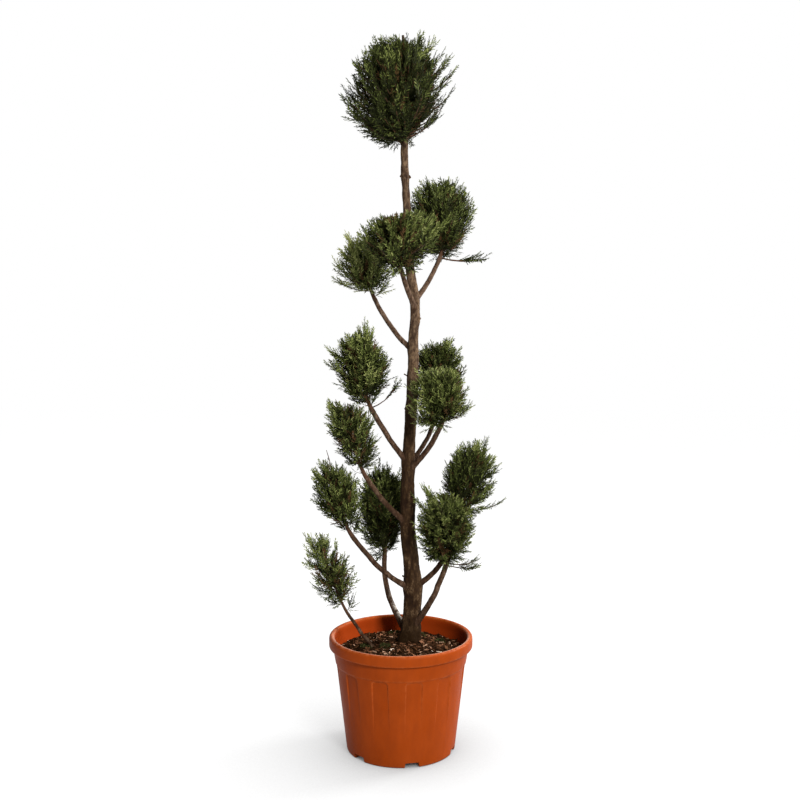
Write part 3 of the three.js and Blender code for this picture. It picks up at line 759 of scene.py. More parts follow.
ring = (np.linspace(FIRST_RING, 1, GROUND_ROWS) ** RING_CROWDING * GROUND_RADIUS)[:, None]
turn = np.linspace(0, 2 * np.pi, GROUND_COLUMNS, endpoint=False)
ground_x, ground_y = ring * np.cos(turn), ring * np.sin(turn)
top = np.stack([ground_x, ground_y, ground_height(ground_x, ground_y)], -1)
skirt = top[-1:] * [SKIRT_SHRINK, SKIRT_SHRINK, 1] - [0, 0, GROUND_DEPTH]
ground_grid = np.concatenate([skirt, top[::-1]])
quads, fans = tube_faces(len(ground_grid), GROUND_COLUMNS)
middle_top = ground_height(np.zeros(1), np.zeros(1))[0]
poles = np.array([[0, 0, SOIL_EDGE - GROUND_DEPTH], [0, 0, middle_top]])
ground = put_mesh("compost_ground", np.concatenate([ground_grid.reshape(-1, 3), poles]), quads, fans,
                  [compost_finish])
keep(ground, "compost", "soil")
print("compost", len(ground.data.polygons), "faces")

# %% Shards
SHARD_LENGTHS, SHARD_SKEW, SHARD_THICKNESS = (0.3, 1.0), 1.3, (0.08, 0.2)
SHARD_TILT, SHARD_ROLL = 0.28, 0.3
SHARD_CORNERS, SHARD_LIFT = (0.55, 1.0), (-0.3, 1.0)
SQUARE = [(-1, -1), (1, -1), (1, 1), (-1, 1)]
CUBE = np.array([(*corner, level) for level in (-1, 1) for corner in SQUARE])
CUBE_FACES = np.array([[0, 3, 2, 1], [4, 5, 6, 7], [0, 1, 5, 4], [1, 2, 6, 5], [2, 3, 7, 6], [3, 0, 4, 7]])


def turned_frames(turn, tilt, roll):
    """Three unit axes for each item: turned about the vertical, then tilted and rolled out of the level."""
    along = bearing_vector(np.degrees(turn), np.degrees(tilt))
    level = bearing_vector(np.degrees(turn) + 90)
    up = np.cross(along, level)
    side = level * np.cos(roll)[:, None] + up * np.sin(roll)[:, None]
    return np.stack([along, side, np.cross(along, side)], 1)


def shards(count, longest, width, seed, limit, lift):
    """Flat eight-cornered shards strewn over the ground, corners jittered, each on its own tilted axes."""
    draw = np.random.default_rng(seed)
    radius = np.sqrt(draw.uniform(0.0, 1.0, count)) * limit
    turn = draw.uniform(0, 2 * np.pi, count)
    x, y = radius * np.cos(turn), radius * np.sin(turn)
    length = longest * draw.uniform(*SHARD_LENGTHS, count) ** SHARD_SKEW
    parts = [np.ones(count), draw.uniform(*width, count), draw.uniform(*SHARD_THICKNESS, count)]
    size = length[:, None] * np.stack(parts, -1)
    size[:, 2] = np.minimum(size[:, 2], size[:, 1])
    axes = turned_frames(draw.uniform(0, 2 * np.pi, count), draw.normal(0, SHARD_TILT, count),
                         draw.normal(0, SHARD_ROLL, count))
    corner = CUBE * draw.uniform(*SHARD_CORNERS, (count, len(CUBE), 3)) * size[:, None, :] / 2
    centre = np.stack([x, y, ground_height(x, y) + lift * draw.uniform(*SHARD_LIFT, count)], -1)
    points = centre[:, None, :] + np.einsum("nci,nij->ncj", corner, axes)
    faces = CUBE_FACES + len(CUBE) * np.arange(count)[:, None, None]
    return points.reshape(-1, 3), faces.reshape(-1, 4), draw


print("a shard has", len(CUBE), "corners and", len(CUBE_FACES), "faces")

# %% Bark chips
CHIP_COUNT = 1600
CHIP_TINTS = [(0.016, 0.007, 0.003), (0.045, 0.020, 0.009), (0.095, 0.042, 0.020), (0.165, 0.075, 0.040),
              (0.30, 0.18, 0.115), (0.52, 0.42, 0.33)]
CHIP_SHARES = [0.42, 0.25, 0.16, 0.10, 0.045, 0.025]
CHIP_WIDTH, FIBRE_WIDTH = (0.25, 0.6), (0.05, 0.09)
FIBRE_COUNT = 70
CHIP_LIGHT, CHIP_DARK = 1.15, 0.6


def chip_finish(number, tint):
    """A chip's wood: its tint a little lighter, with darker clouds and a fine grain."""
    light, dark = CHIP_LIGHT * np.array(tint), CHIP_DARK * np.array(tint)
    clouds = [(dark, 350, EVEN, None, 0.6)]
    return layered_material(f"bark_chip_{number}", light, clouds, roughness=(0.75, 0.95), grain_scale=800,
                            grain_depth=0.0004, specular=0.0)


chip_materials = [chip_finish(number, tint) for number, tint in enumerate(CHIP_TINTS)]
points, faces, draw = shards(CHIP_COUNT, longest=20 * MM, width=CHIP_WIDTH, seed=11, limit=157 * MM,
                             lift=4 * MM)
shade = draw.choice(len(CHIP_TINTS), CHIP_COUNT, p=CHIP_SHARES)
shade = np.repeat(shade, len(CUBE_FACES))
chips = put_mesh("bark_chips", points, faces, None, chip_materials, shade, smooth=False)
points, faces, _ = shards(FIBRE_COUNT, longest=26 * MM, width=FIBRE_WIDTH, seed=12, limit=150 * MM,
                          lift=5 * MM)
fibres = put_mesh("pale_fibres", points, faces, None, chip_materials[-2:-1], smooth=False)
keep(chips, "compost")
keep(fibres, "compost")
print("chips", len(chips.data.polygons), "faces, fibres", len(fibres.data.polygons))

# %% Moss
MOSS_TUFTS = np.array([(-86, -18, 15), (-38, -24, 13), (48, 70, 17), (100, 30, 12), (-20, 95, 14)]) * MM
MOSS_BLADES = 240
MOSS_TINTS = {"moss_dark": (0.020, 0.022, 0.007), "moss_light": (0.060, 0.062, 0.022)}
MOSS_DOME, MOSS_ROOT, MOSS_WIDTH = 5 * MM, 1 * MM, 1.3 * MM
MOSS_LENGTH, MOSS_CLIMB, MOSS_SCATTER = (5, 9), (20, 80), 40
LIGHT_SHARE = 0.4
BLADE_FACES = np.array([[0, 2, 1], [0, 1, 3], [1, 2, 3], [2, 0, 3]])


def moss_blades(centre_x, centre_y, radius, draw):
    """A tuft of short pointed blades: roots spread over a disc, each blade up and out from its middle."""
    spread = radius * np.sqrt(draw.random(MOSS_BLADES))
    turn = draw.uniform(0, 2 * np.pi, MOSS_BLADES)
    x, y = centre_x + spread * np.cos(turn), centre_y + spread * np.sin(turn)
    dome = MOSS_DOME * (1 - (spread / radius) ** 2)
    root = np.stack([x, y, ground_height(x, y) + dome - MOSS_ROOT], -1)
    heading = np.degrees(turn) + draw.normal(0, MOSS_SCATTER, MOSS_BLADES)
    way = bearing_vector(heading, draw.uniform(*MOSS_CLIMB, MOSS_BLADES))
    across = unit(np.cross(way, draw.normal(size=way.shape)))
    length = draw.uniform(*MOSS_LENGTH, MOSS_BLADES)[:, None] * MM
    foot = root - across * MOSS_WIDTH / 2
    ridge = root + np.cross(way, across) * MOSS_WIDTH / 2
    return np.stack([foot, root + across * MOSS_WIDTH / 2, ridge, root + way * length], 1)


moss_draw = np.random.default_rng(17)
blades = np.concatenate([moss_blades(*tuft, moss_draw) for tuft in MOSS_TUFTS])
blade_faces = (BLADE_FACES + blades.shape[1] * np.arange(len(blades))[:, None, None]).reshape(-1, 3)
moss_tints = [plain_material(name, tint, roughness=0.9, specular=0.0)
              for name, tint in MOSS_TINTS.items()]
moss_shade = np.repeat(moss_draw.random(len(blades)) < LIGHT_SHARE, len(BLADE_FACES))
moss = put_mesh("moss_tufts", blades.reshape(-1, 3), None, blade_faces, moss_tints, moss_shade, smooth=False)
keep(moss, "compost")
print("moss", len(moss.data.polygons), "faces")

# %% [markdown]
# ## Trunk and boughs
# The trunk is one stem with a leaning, slightly winding axis and a flared foot. It could be sculpted, but a
# rule keeps it on the imported axis: a ring of points is carried along, and the bark is moved in and out by a
# random field that is stretched up and down, which makes plates and furrows. The same function makes the
# pruned stubs, and the boughs, which are finer and swell to a collar at their foot. Values marked on the
# points tell the finish where to paint shade in the furrows and a highlight on the ridges, where the bark is
# darker low down, partly painted shade of the foliage above and partly damp bark, and near a bough's foot,
# where the trunk's foot is damp, and where one bough has a painted highlight down one side.

# %% Limb surface
# The furrows take painted shade and the ridges a painted highlight. Bark low down is darker, partly painted
# shade of the foliage above and partly damp.
FURROW_SHADE, RIDGE_HIGHLIGHT = (-0.05, -0.45), (0.15, 0.5)
LOW_SHADE_AND_DAMP, DAMP_BARK = (1.02, 0.72), (0.335, 0.275)
PLATE_SHARE, FLAKE_SHARE, FLAKE_CELL = 0.65, 0.35, 0.4


def limb_surface(path, radius, reference, columns, relief, cell, seed, shape=None):
    """A ring carried along a path: two axes square to the path, the radius at each step, and bark relief.

    The relief is two parts of a field of plates and one part of a finer field. Returns points and relief.
    """
    along = unit(np.gradient(path, axis=0))
    side = unit(np.cross(reference, along))
    back = np.cross(along, side)
    angle = np.linspace(0, 2 * np.pi, columns, endpoint=False)
    spoke = side[:, None, :] * np.cos(angle)[:, None] + back[:, None, :] * np.sin(angle)[:, None]
    girth = radius[:, None] * np.ones(columns)
    if shape is not None:
        girth = girth + shape(path, spoke)
    bare = path[:, None, :] + spoke * girth[..., None]
    plates = smooth_field(bare, np.array(cell), seed)
    flakes = smooth_field(bare, np.array(cell) * FLAKE_CELL, seed + 1)
    field = PLATE_SHARE * plates + FLAKE_SHARE * flakes
    return bare + spoke * (relief * field)[..., None], field


def closed_limb(name, surface, field, path, finish, foot=0.0):
    """Closes a limb's grid with end points and marks furrow shade, ridge highlight, low shade and damp."""
    quads, fans = tube_faces(*surface.shape[:2])
    points = np.concatenate([surface.reshape(-1, 3), path[:1], path[-1:]])
    piece = put_mesh(name, points, quads, fans, [finish])
    spread = np.append(field.ravel(), [0, 0])
    mark(piece, "furrow_shade", smoothstep(*FURROW_SHADE, spread))
    mark(piece, "ridge", smoothstep(*RIDGE_HIGHLIGHT, spread))
    low_shade_and_damp = np.maximum(smoothstep(*LOW_SHADE_AND_DAMP, surface[..., 2]), foot)
    mark(piece, "low", np.append(low_shade_and_damp.ravel(), low_shade_and_damp[[0, -1], 0]))
    mark(piece, "damp", smoothstep(*DAMP_BARK, points[:, 2]))
    return piece


print("limb functions ready")

# %% Trunk
TRUNK_STEPS, TRUNK_COLUMNS = 520, 76
TRUNK_FOOT, TRUNK_TIP = 0.252, 1.7565
TRUNK_RELIEF, FULL_RELIEF_RADIUS = 1.6 * MM, 0.012
KNOT_SWELL, KNOT_HEIGHT, KNOT_SPREAD, KNOT_LIFT = 3.0 * MM, 15 * MM, 0.75, 4 * MM
LOBE_SWELL, LOBE_FADE = 2.2 * MM, 0.045
FULL_KNOT = 7
knots = [(bough.leaves * MM, bough.bearing, 1.0) for bough in BOUGHS if bough.leaves]
knots += [(height * MM, bearing, radius / FULL_KNOT) for height, bearing, _, radius in STUBS]


def trunk_swelling(path, spoke):
    """Swellings where limbs leave, each a bell in height and bearing, and root lobes that fade upward.

    The root lobes are five waves round the foot and, half as strong, three.
    """
    bearing = np.arctan2(spoke[..., 1], spoke[..., 0])
    height = path[:, 2][:, None]
    swell = 0 * bearing
    for at, toward, size in knots:
        apart = np.angle(np.exp(1j * (bearing - np.radians(toward))))
        swell += size * np.exp(-((height - at - KNOT_LIFT) / KNOT_HEIGHT) ** 2 - (apart / KNOT_SPREAD) ** 2)
    lobes = np.cos(5 * bearing + 0.7) + 0.5 * np.cos(3 * bearing + 2.0)
    return KNOT_SWELL * swell + LOBE_SWELL * lobes * np.exp(-(height - SOIL_TOP) / LOBE_FADE)


heights = np.linspace(TRUNK_FOOT, TRUNK_TIP, TRUNK_STEPS)
trunk_path = trunk_axis(heights)
trunk_girth = trunk_radius(heights)
surface, field = limb_surface(trunk_path, trunk_girth, np.array([0, 1.0, 0]), TRUNK_COLUMNS,
                              TRUNK_RELIEF * np.minimum(trunk_girth / FULL_RELIEF_RADIUS, 1.0)[:, None],
                              cell=(7 * MM, 7 * MM, 20 * MM), seed=21, shape=trunk_swelling)
trunk = keep(closed_limb("trunk_stem", surface, field, trunk_path, trunk_finish), "trunk_bark", "trunk")
print("trunk", len(trunk.data.polygons), "faces")

# %% Pruned stubs
STUB_STEPS, STUB_COLUMNS, STUB_CLIMB = 9, 14, 35
STUB_SWELL, STUB_SWELLS, STUB_CUT, STUB_SEED = 0.12, (0.75, 0.95), 0.8, 90


def stub_piece(stub, number):
    """A pruned stub: a short limb from the trunk's axis that climbs and ends in a slightly swollen cut."""
    height, bearing, length, radius = stub
    start = trunk_axis(np.array([height * MM]))[0]
    share = np.linspace(0, 1, STUB_STEPS)
    path = start + share[:, None] * bearing_vector(bearing, STUB_CLIMB) * length * MM
    girth = radius * MM * (1 + STUB_SWELL * smoothstep(*STUB_SWELLS, share))
    girth = girth * np.where(share == 1, STUB_CUT, 1.0)
    surface, field = limb_surface(path, girth, np.cross(UP, bearing_vector(bearing)), STUB_COLUMNS,
                                  relief=0.4 * MM, cell=(4 * MM, 4 * MM, 9 * MM), seed=STUB_SEED + number)
    return keep(closed_limb(f"stub_{number}", surface, field, path, trunk_finish), "trunk_bark")


stubs = [stub_piece(stub, number) for number, stub in enumerate(STUBS)]
print("stubs", len(stubs))

# %% Boughs
BOUGH_STEPS, BOUGH_COLUMNS = 100, 22
BOUGH_RELIEF = 0.7 * MM
BOUGH_WOBBLE, WOBBLE_CELL, WOBBLE_SEED = 1.6 * MM, 0.03, 60
BOUGH_SEED = 31
# The centre rear bough gets a painted highlight down one side, low on the bough.
HIGHLIGHT_SIDE = {"centre_rear": -38}
HIGHLIGHT_ROUND, HIGHLIGHT_UP, HIGHLIGHT_FOOT = (0.25, 0.85), (0.66, 0.18), (0.06, 0.12)


def painted_side_highlight(surface, path, share, bearing):
    """How strong the painted highlight is: most on one side and low on the bough, fading round and upward."""
    side = unit(surface - path[:, None]) @ bearing_vector(bearing)
    low = smoothstep(*HIGHLIGHT_UP, share) * smoothstep(*HIGHLIGHT_FOOT, share)
    pale = smoothstep(*HIGHLIGHT_ROUND, side) * low[:, None]
    return np.append(pale.ravel(), [0, 0])


def bough_piece(bough, number):
    """A bough's mesh: its curve with a slight random wobble, its collar and its bark."""
    start, middle, tip = bough_curve(bough)
    share = np.linspace(0, 1, BOUGH_STEPS)
    path, _ = arc(start, middle, tip, share)
    seeds = WOBBLE_SEED + number * 3 + np.arange(3)
    wobble = np.stack([smooth_field(path, WOBBLE_CELL, seed) for seed in seeds], -1)
    path = path + wobble * BOUGH_WOBBLE * np.sin(np.pi * share)[:, None]
    across = np.cross(UP, bearing_vector(bough.bearing))
    surface, field = limb_surface(path, bough_radius(bough, share), across, BOUGH_COLUMNS, BOUGH_RELIEF,
                                  cell=(6 * MM, 6 * MM, 14 * MM), seed=BOUGH_SEED + number)
    foot = near_foot(bough, share)[:, None]
    piece = closed_limb(f"limb_{bough.name}", surface, field, path, bough_finish, foot)
    if bough.name in HIGHLIGHT_SIDE:
        mark(piece, "side_highlight", painted_side_highlight(surface, path, share, HIGHLIGHT_SIDE[bough.name]))
    return keep(piece, "bough_bark", f"bough_{bough.name}")


limbs = [bough_piece(bough, number) for number, bough in enumerate(BOUGHS)]
print("boughs", sum(len(piece.data.polygons) for piece in limbs), "faces")

# %% [markdown]
# ## Balls of foliage
# A clipped ball could be a skin with leaves strewn over it, but then it has no inside and no ragged edge. So
# each ball grows from one stem that carries on from its bough. Twigs leave the stem so that their ends are
# spread evenly over the ball by the golden angle, and climb outward as they do on the clipped tree. The
# clipped outline is lumpy, with listed lobes and hollows. Some twigs stand proud of it, as shoots do that
# grew after the last clipping, and a few stray sprays stick out.

# %% Ball and stem
GOLDEN_ANGLE = np.pi * (3 - np.sqrt(5))
STEM_STEPS, STEM_END = 26, 2.2 * MM
STEM_SEAT, STEM_BEND, STEM_REACH, TOP_STEM = 3, 0.4, 0.5, 0.8
UNDER_TAPER = 0.12


def make_ball(name, shape, strays, lobes, tip=None, arrival=None, girth=None):
    """A ball's centre, axes and half sizes, and its stem from the bough's tip up through the ball."""
    across, tall, lean, toward, sink, fill, fresh_and_light = shape
    axis = bearing_vector(toward, 90 - lean)
    half_across, half_tall = across / 2 * MM, tall / 2 * MM
    centre = TOP_CENTRE if tip is None else tip + axis * (half_tall - sink * MM)
    side_a = unit(np.array([1.0, 0, 0]) - axis * axis[0])
    side_b = np.cross(axis, side_a)
    share = np.linspace(0, 1, STEM_STEPS)
    if tip is None:
        stem = trunk_axis(np.linspace(centre[2] - half_tall, centre[2] + TOP_STEM * half_tall, STEM_STEPS))
        girths = None
    else:
        bend, end = tip + arrival * half_tall * STEM_BEND, centre + axis * half_tall * STEM_REACH
        stem, _ = arc(tip - arrival * STEM_SEAT * MM, bend, end, share)
        girths = girth + (STEM_END - girth) * share
    return SimpleNamespace(
        name=name, axis=axis, centre=centre, across=half_across, tall=half_tall, fill=fill, fresh_and_light=fresh_and_light,
        axes=np.stack([side_a, side_b, axis]), stem=stem, girths=girths, strays=strays, lobes=lobes,
        taper=0.0 if tip is None else UNDER_TAPER)


def in_ball(ball, points):
    """Points in the ball's own units: its surface lies at distance one from its centre."""
    sizes = np.array([ball.across, ball.across, ball.tall])
    return (points - ball.centre) @ ball.axes.T / sizes


def from_ball(ball, units):
    """Points in the frame, from the ball's own units."""
    sizes = np.array([ball.across, ball.across, ball.tall])
    return ball.centre + (units * sizes) @ ball.axes


balls = [make_ball("top", TOP_BALL, TOP_STRAYS, TOP_LOBES)]
for bough in BOUGHS:
    start, middle, tip = bough_curve(bough)
    balls.append(make_ball(bough.name, bough.ball, bough.strays, bough.lobes, tip, unit(tip - middle),
                           bough.thick[1] / 2 * MM))
print("balls", len(balls), "stem steps", STEM_STEPS)

# %% Clipped outline
OUTLINE_LUMP, LUMP_PITCH, LUMP_SHIFT = 0.17, 2.6, 9
TAPER_BAND = (-0.65, 0.3)


def toward_lobe(ball, units, bearing, climb, width):
    """How near each direction is to a listed one: one there, falling off as a bell some degrees wide."""
    way = unit(bearing_vector(bearing, climb) @ ball.axes.T)
    return np.exp((unit(units) @ way - 1) / (1 - np.cos(np.radians(width))))


def ball_outline(ball, units, seed):
    """How far the clipped outline stands in each direction: one, with random lumps and listed lobes.

    Below the middle it draws in towards the stem.
    """
    reach = 1 + OUTLINE_LUMP * smooth_field(unit(units) * LUMP_PITCH + LUMP_SHIFT, 1.0, seed)
    reach = reach - ball.taper * bell(unit(units)[..., 2], *TAPER_BAND)
    for bearing, climb, width, gain, _ in ball.lobes:
        reach = reach + gain * toward_lobe(ball, units, bearing, climb, width)
    return reach


print("lobes and hollows", sum(len(ball.lobes) for ball in balls))

# %% Twigs
TWIG_AREA = 1300 * MM * MM
TWIG_SLOPE, TWIG_BOW, TWIG_SAG, STRAY_SAG = 0.55, 0.08, 0.07, 0.14
TWIG_FEET, TWIG_JITTER, TWIG_INSIDE, LEAST_REACH = (-0.92, 0.35), 0.25, (0.45, 1.0), 0.25
STRAY_PLUME = 26
PLUME_LENGTH, FULL_BALL = 46 * MM, 80 * MM
PROUD_SHARE, PROUD_REACH = 0.12, 0.20


def plume_length(ball):
    """The length of a full plume, shorter on the smaller balls by the root of their size."""
    return PLUME_LENGTH * min(1.0, ball.across / FULL_BALL) ** 0.5


def stem_point(ball, height):
    """The point of the stem at each height along the ball's axis."""
    along = (ball.stem - ball.centre) @ ball.axis
    return np.stack([np.interp(height, along, ball.stem[:, k]) for k in range(3)], -1)


def twig_start(ball, ends):
    """Where a twig leaves the stem: lower than its end by its slope times its distance from the axis."""
    offset = ends - ball.centre
    along = offset @ ball.axis
    aside = np.linalg.norm(offset - along[:, None] * ball.axis, axis=-1)
    lowest, highest = np.array(TWIG_FEET) * ball.tall
    return stem_point(ball, np.clip(along - TWIG_SLOPE * aside, lowest, highest))


def grow_twigs(ball, seed, draw):
    """Twigs as quadratic curves: even ends by the golden angle, then the strays, all sagging midway.

    A twig ends most of a plume's length inside the outline, so that the plumes at its end reach the outline.
    A few stand proud of it, as shoots do that grew after the last clipping.
    """
    mean = np.cbrt(ball.across * ball.across * ball.tall)
    count = int(round(4 * np.pi * mean ** 2 * ball.fill / TWIG_AREA))
    order = np.arange(count)
    height = 1 - 2 * (order + 0.5) / count
    ring = np.sqrt(1 - height ** 2)
    turn = draw.uniform(0, 2 * np.pi) + GOLDEN_ANGLE * order
    turn = turn + draw.uniform(-TWIG_JITTER, TWIG_JITTER, count)
    units = np.stack([np.cos(turn) * ring, np.sin(turn) * ring, height], -1)
    radius = np.linalg.norm(from_ball(ball, units) - ball.centre, axis=-1)
    proud = PROUD_REACH * draw.random(count) * (draw.random(count) < PROUD_SHARE)
    inside = draw.uniform(*TWIG_INSIDE, count) * plume_length(ball) / radius
    reach = ball_outline(ball, units, seed) + proud - inside
    ends = from_ball(ball, units * np.maximum(reach, LEAST_REACH)[:, None])
    listed = np.array(ball.strays, float).reshape(-1, 3)
    stray_ends = ball.centre + bearing_vector(listed[:, 0], listed[:, 1]) * (listed[:, 2:] - STRAY_PLUME) * MM
    ends = np.concatenate([ends, stray_ends])
    stray = np.arange(len(ends)) >= count
    starts = twig_start(ball, ends)
    span = np.linalg.norm(ends - starts, axis=-1, keepdims=True)
    outward = unit((ends - starts) - ((ends - starts) @ ball.axis)[:, None] * ball.axis)
    sag = np.where(stray, STRAY_SAG, TWIG_SAG)[:, None]
    middles = (starts + ends) / 2 + outward * span * TWIG_BOW - ball.axis * span * sag
    return starts, middles, ends, stray, np.append(proud, 0 * listed[:, 0])


print("stray sprays", sum(len(ball.strays) for ball in balls))

# %% [markdown]
# ## Sprays of scale leaves
# A cypress has flat sprays of tiny scale leaves. A spray could be a picture on a flat card, but a card shows
# its thin edge from the side. Here each twig carries plumes, each plume carries short shoots on both sides,
# shorter towards its tip, and each shoot is a row of small folded leaves, so the sprays keep their shape from
# every side. All of it is worked out level by level as whole arrays. A plume that would pass the clipped
# outline is shortened, and one that would touch bare wood or a neighbouring ball is left out.

# %% Room for each ball
LEAF_CLEARANCE = 4 * MM
SPACE_MARGIN = 1.0 * MM
BARE_TOP, TRUNK_SAMPLES = TRUNK_TIP - 0.27, 150
BARE_SHARE, BOUGH_SAMPLES = 0.9, 26


def ball_reach(ball, direction):
    """The distance from a ball's centre to its surface in a direction."""
    along = direction @ ball.axis
    aside = np.sqrt(max(0.0, 1 - along * along))
    return 1 / np.hypot(along / ball.tall, aside / ball.across)


def keeps_to_space(ball, points):
    """True where a point lies on the ball's own side of the plane between it and every other ball."""
    fine = np.ones(points.shape[:-1], bool)
    for other in balls:
        if other is ball:
            continue
        toward = other.centre - ball.centre
        distance = np.linalg.norm(toward)
        toward = toward / distance
        own = ball_reach(ball, toward)
        limit = ball.centre @ toward + distance * own / (own + ball_reach(other, toward)) - SPACE_MARGIN
        fine &= points @ toward < limit
    return fine


def limb_samples():
    """Points along the trunk and every bough with the radius there, to keep leaves clear of bare wood."""
    heights = np.linspace(SOIL_TOP, BARE_TOP, TRUNK_SAMPLES)
    places, sizes = [trunk_axis(heights)], [trunk_radius(heights)]
    share = np.linspace(0, BARE_SHARE, BOUGH_SAMPLES)
    for bough in BOUGHS:
        places.append(arc(*bough_curve(bough), share)[0])
        sizes.append(bough_radius(bough, share))
    return np.concatenate(places), np.concatenate(sizes)


WOOD_PLACES, WOOD_SIZES = limb_samples()


def clear_of_wood(points):
    """True where a point stands clear of the trunk and the boughs."""
    fine = np.ones(len(points), bool)
    for place, size in zip(WOOD_PLACES, WOOD_SIZES):
        fine &= np.linalg.norm(points - place, axis=-1) > size + LEAF_CLEARANCE
    return fine


print("wood samples", len(WOOD_SIZES))

# %% Plumes
PLUMES_PER_TWIG = 11
PLUME_LEAN, PLUME_LIFT, PLUME_BEND = (0.35, 0.95), 0.62, 0.10
STRAY_START, STRAY_LEAN, STRAY_LIFT, STRAY_LENGTH = 0.48, 0.42, 0.15, 0.68
TWIG_START, FIRST_PLUME, PLUME_JITTER = 0.14, 0.1, 0.35
ROLL_SPREAD, LEAN_FALL, LAST_LEAN = 0.3, (1.2, 0.55), 0.25
RISING, LIFT_SPREAD, LENGTH_SPREAD, WARMTH_SPREAD = (-0.8, 0.3), (0.6, 1.4), (0.7, 1.12), 0.09
NUDGE = 0.01


def lay_plumes(ball, twigs, draw):
    """Plumes round each twig by the golden angle, the last one carrying the twig on past its end.

    A plume leans out from its twig, less so near the twig's end, and lifts towards the light. The nudge keeps
    a cross product from vanishing where two directions agree. Returns each plume's start, heading, full
    length and warmth, which the plumes of one twig share.
    """
    starts, middles, ends, stray, _ = (values[:, None] for values in twigs)
    count, each = len(starts), PLUMES_PER_TWIG
    low = np.where(stray, STRAY_START, TWIG_START)
    order = np.arange(each) + draw.uniform(-PLUME_JITTER, PLUME_JITTER, (count, each))
    share = np.clip(low + (1 - low) * order / (each - 1), FIRST_PLUME, 1.0)
    share[:, -1] = 1.0
    place, along = arc(starts, middles, ends, share)
    level = unit(np.cross(along, ball.axis + NUDGE))
    back = np.cross(along, level)
    roll = draw.uniform(0, 2 * np.pi, (count, 1)) + GOLDEN_ANGLE * np.arange(each)
    roll = roll + draw.normal(0, ROLL_SPREAD, (count, each))
    aside = level * np.cos(roll)[..., None] + back * np.sin(roll)[..., None]
    closing = np.where(stray, STRAY_LEAN, LEAN_FALL[0] - LEAN_FALL[1] * share)
    lean = draw.uniform(*PLUME_LEAN, (count, each)) * closing
    lean[:, -1] *= LAST_LEAN
    rising = smoothstep(*RISING, in_ball(ball, ends)[..., 2])
    lift = PLUME_LIFT * draw.uniform(*LIFT_SPREAD, (count, each)) * np.where(stray, STRAY_LIFT, rising)
    heading = along * np.cos(lean)[..., None] + aside * np.sin(lean)[..., None]
    heading = unit(heading + UP * lift[..., None])
    length = plume_length(ball) * draw.uniform(*LENGTH_SPREAD, (count, each))
    length = length * np.where(stray, STRAY_LENGTH, 1.0)
    warmth = np.repeat(draw.normal(0, WARMTH_SPREAD, count), each)
    return place.reshape(-1, 3), heading.reshape(-1, 3), length.ravel(), warmth


print("plumes on a twig", PLUMES_PER_TWIG)

# %% Clipped plumes
TWIG_RAGGED, PLUME_RAGGED, SHORTEST, CUT_AWAY = (0.87, 1.06), (0.95, 1.05), 0.3, 0.1
FACE_SPREAD = 0.4


def grow_plumes(ball, twigs, seed, draw):
    """Plumes clipped to the ball: the part of a length beyond the outline is cut off, but not of a stray.

    A plume is left out where its middle or tip touches wood, where it would enter another ball's space, and,
    where the photograph shows sky, by a listed chance. It is flat and turns its face away from the ball's
    centre.
    """
    place, heading, length, warmth = lay_plumes(ball, twigs, draw)
    count, each = len(twigs[0]), PLUMES_PER_TWIG
    free, proud = (np.repeat(values, each) for values in twigs[3:])
    near = np.linalg.norm(in_ball(ball, place), axis=-1)
    far_units = in_ball(ball, place + heading * length[:, None])
    far = np.linalg.norm(far_units, axis=-1)
    ragged = np.repeat(draw.uniform(*TWIG_RAGGED, count), each)
    limit = ball_outline(ball, far_units, seed) * ragged * draw.uniform(*PLUME_RAGGED, len(far))
    limit = limit + proud
    cut = np.where(far > limit, (limit - near) / np.maximum(far - near, 1e-6), 1.0)
    cut = np.where(free, 1.0, cut)
    length = length * np.clip(cut, SHORTEST, 1.0)
    tips = place + heading * length[:, None]
    depth = np.linalg.norm(in_ball(ball, tips), axis=-1)
    good = keeps_to_space(ball, tips) & keeps_to_space(ball, place) & clear_of_wood(tips) & (cut > CUT_AWAY)
    good &= clear_of_wood(place + heading * length[:, None] * 0.5)
    for bearing, climb, width, _, open_share in ball.lobes:
        good &= draw.random(len(far)) > open_share * toward_lobe(ball, far_units, bearing, climb, width)
    facing = unit(tips - ball.centre) + FACE_SPREAD * draw.normal(size=tips.shape)
    aside = unit(np.cross(heading, facing))
    made = dict(place=place, heading=heading, aside=aside, length=length, depth=depth, warmth=warmth)
    return SimpleNamespace(**{key: values[good] for key, values in made.items()})


print("full plumes in mm", [round(plume_length(ball) / MM) for ball in balls])

# %% Leaf shape
LEAF_WIDTH = 3.0 * MM
LEAF_SHARE, LEAF_FOLD, LEAF_BROADEST = 0.36, 0.36, 0.42
LEAF_FACES = np.array([[0, 1, 2], [0, 3, 1], [0, 2, 3], [1, 3, 2]])


def leaf_points(root, way, across, length):
    """Small folded kites: a root, a tip, and two corners aside and a little above the line between."""
    width = np.minimum(LEAF_WIDTH, LEAF_SHARE * length)[..., None]
    middle = root + way * (LEAF_BROADEST * length)[..., None] + np.cross(way, across) * width * LEAF_FOLD
    tip = root + way * length[..., None]
    return np.stack([root, tip, middle - across * width / 2, middle + across * width / 2], -2)


def plume_point(plumes, share):
    """The plume's spine at each share of its length: along its heading, bending upward as the square."""
    share = share[..., None]
    length = plumes.length[:, None, None]
    return plumes.place[:, None] + length * (share * plumes.heading[:, None] + PLUME_BEND * share ** 2 * UP)


print("a leaf has", len(LEAF_FACES), "faces")

# %% Shoots
# A span is a first share of the length and the range after it, and a reach falls off along the plume.
SHOOTS, LEAVES_ON_SHOOT = 10, 2
SHOOT_SPAN, SHOOT_ANGLE, SHOOT_CLOSING, SHOOT_WAVE = (0.06, 0.88), (0.45, 0.85), 0.3, 0.28
SHOOT_PLACE, SHOOT_REACH, SHOOT_SPREAD = (0.1, 0.9), (0.38, 0.20), (0.75, 1.2)
LEAF_TURN, LEAF_STEP, LEAF_LENGTH = 0.12, 0.42, 0.66


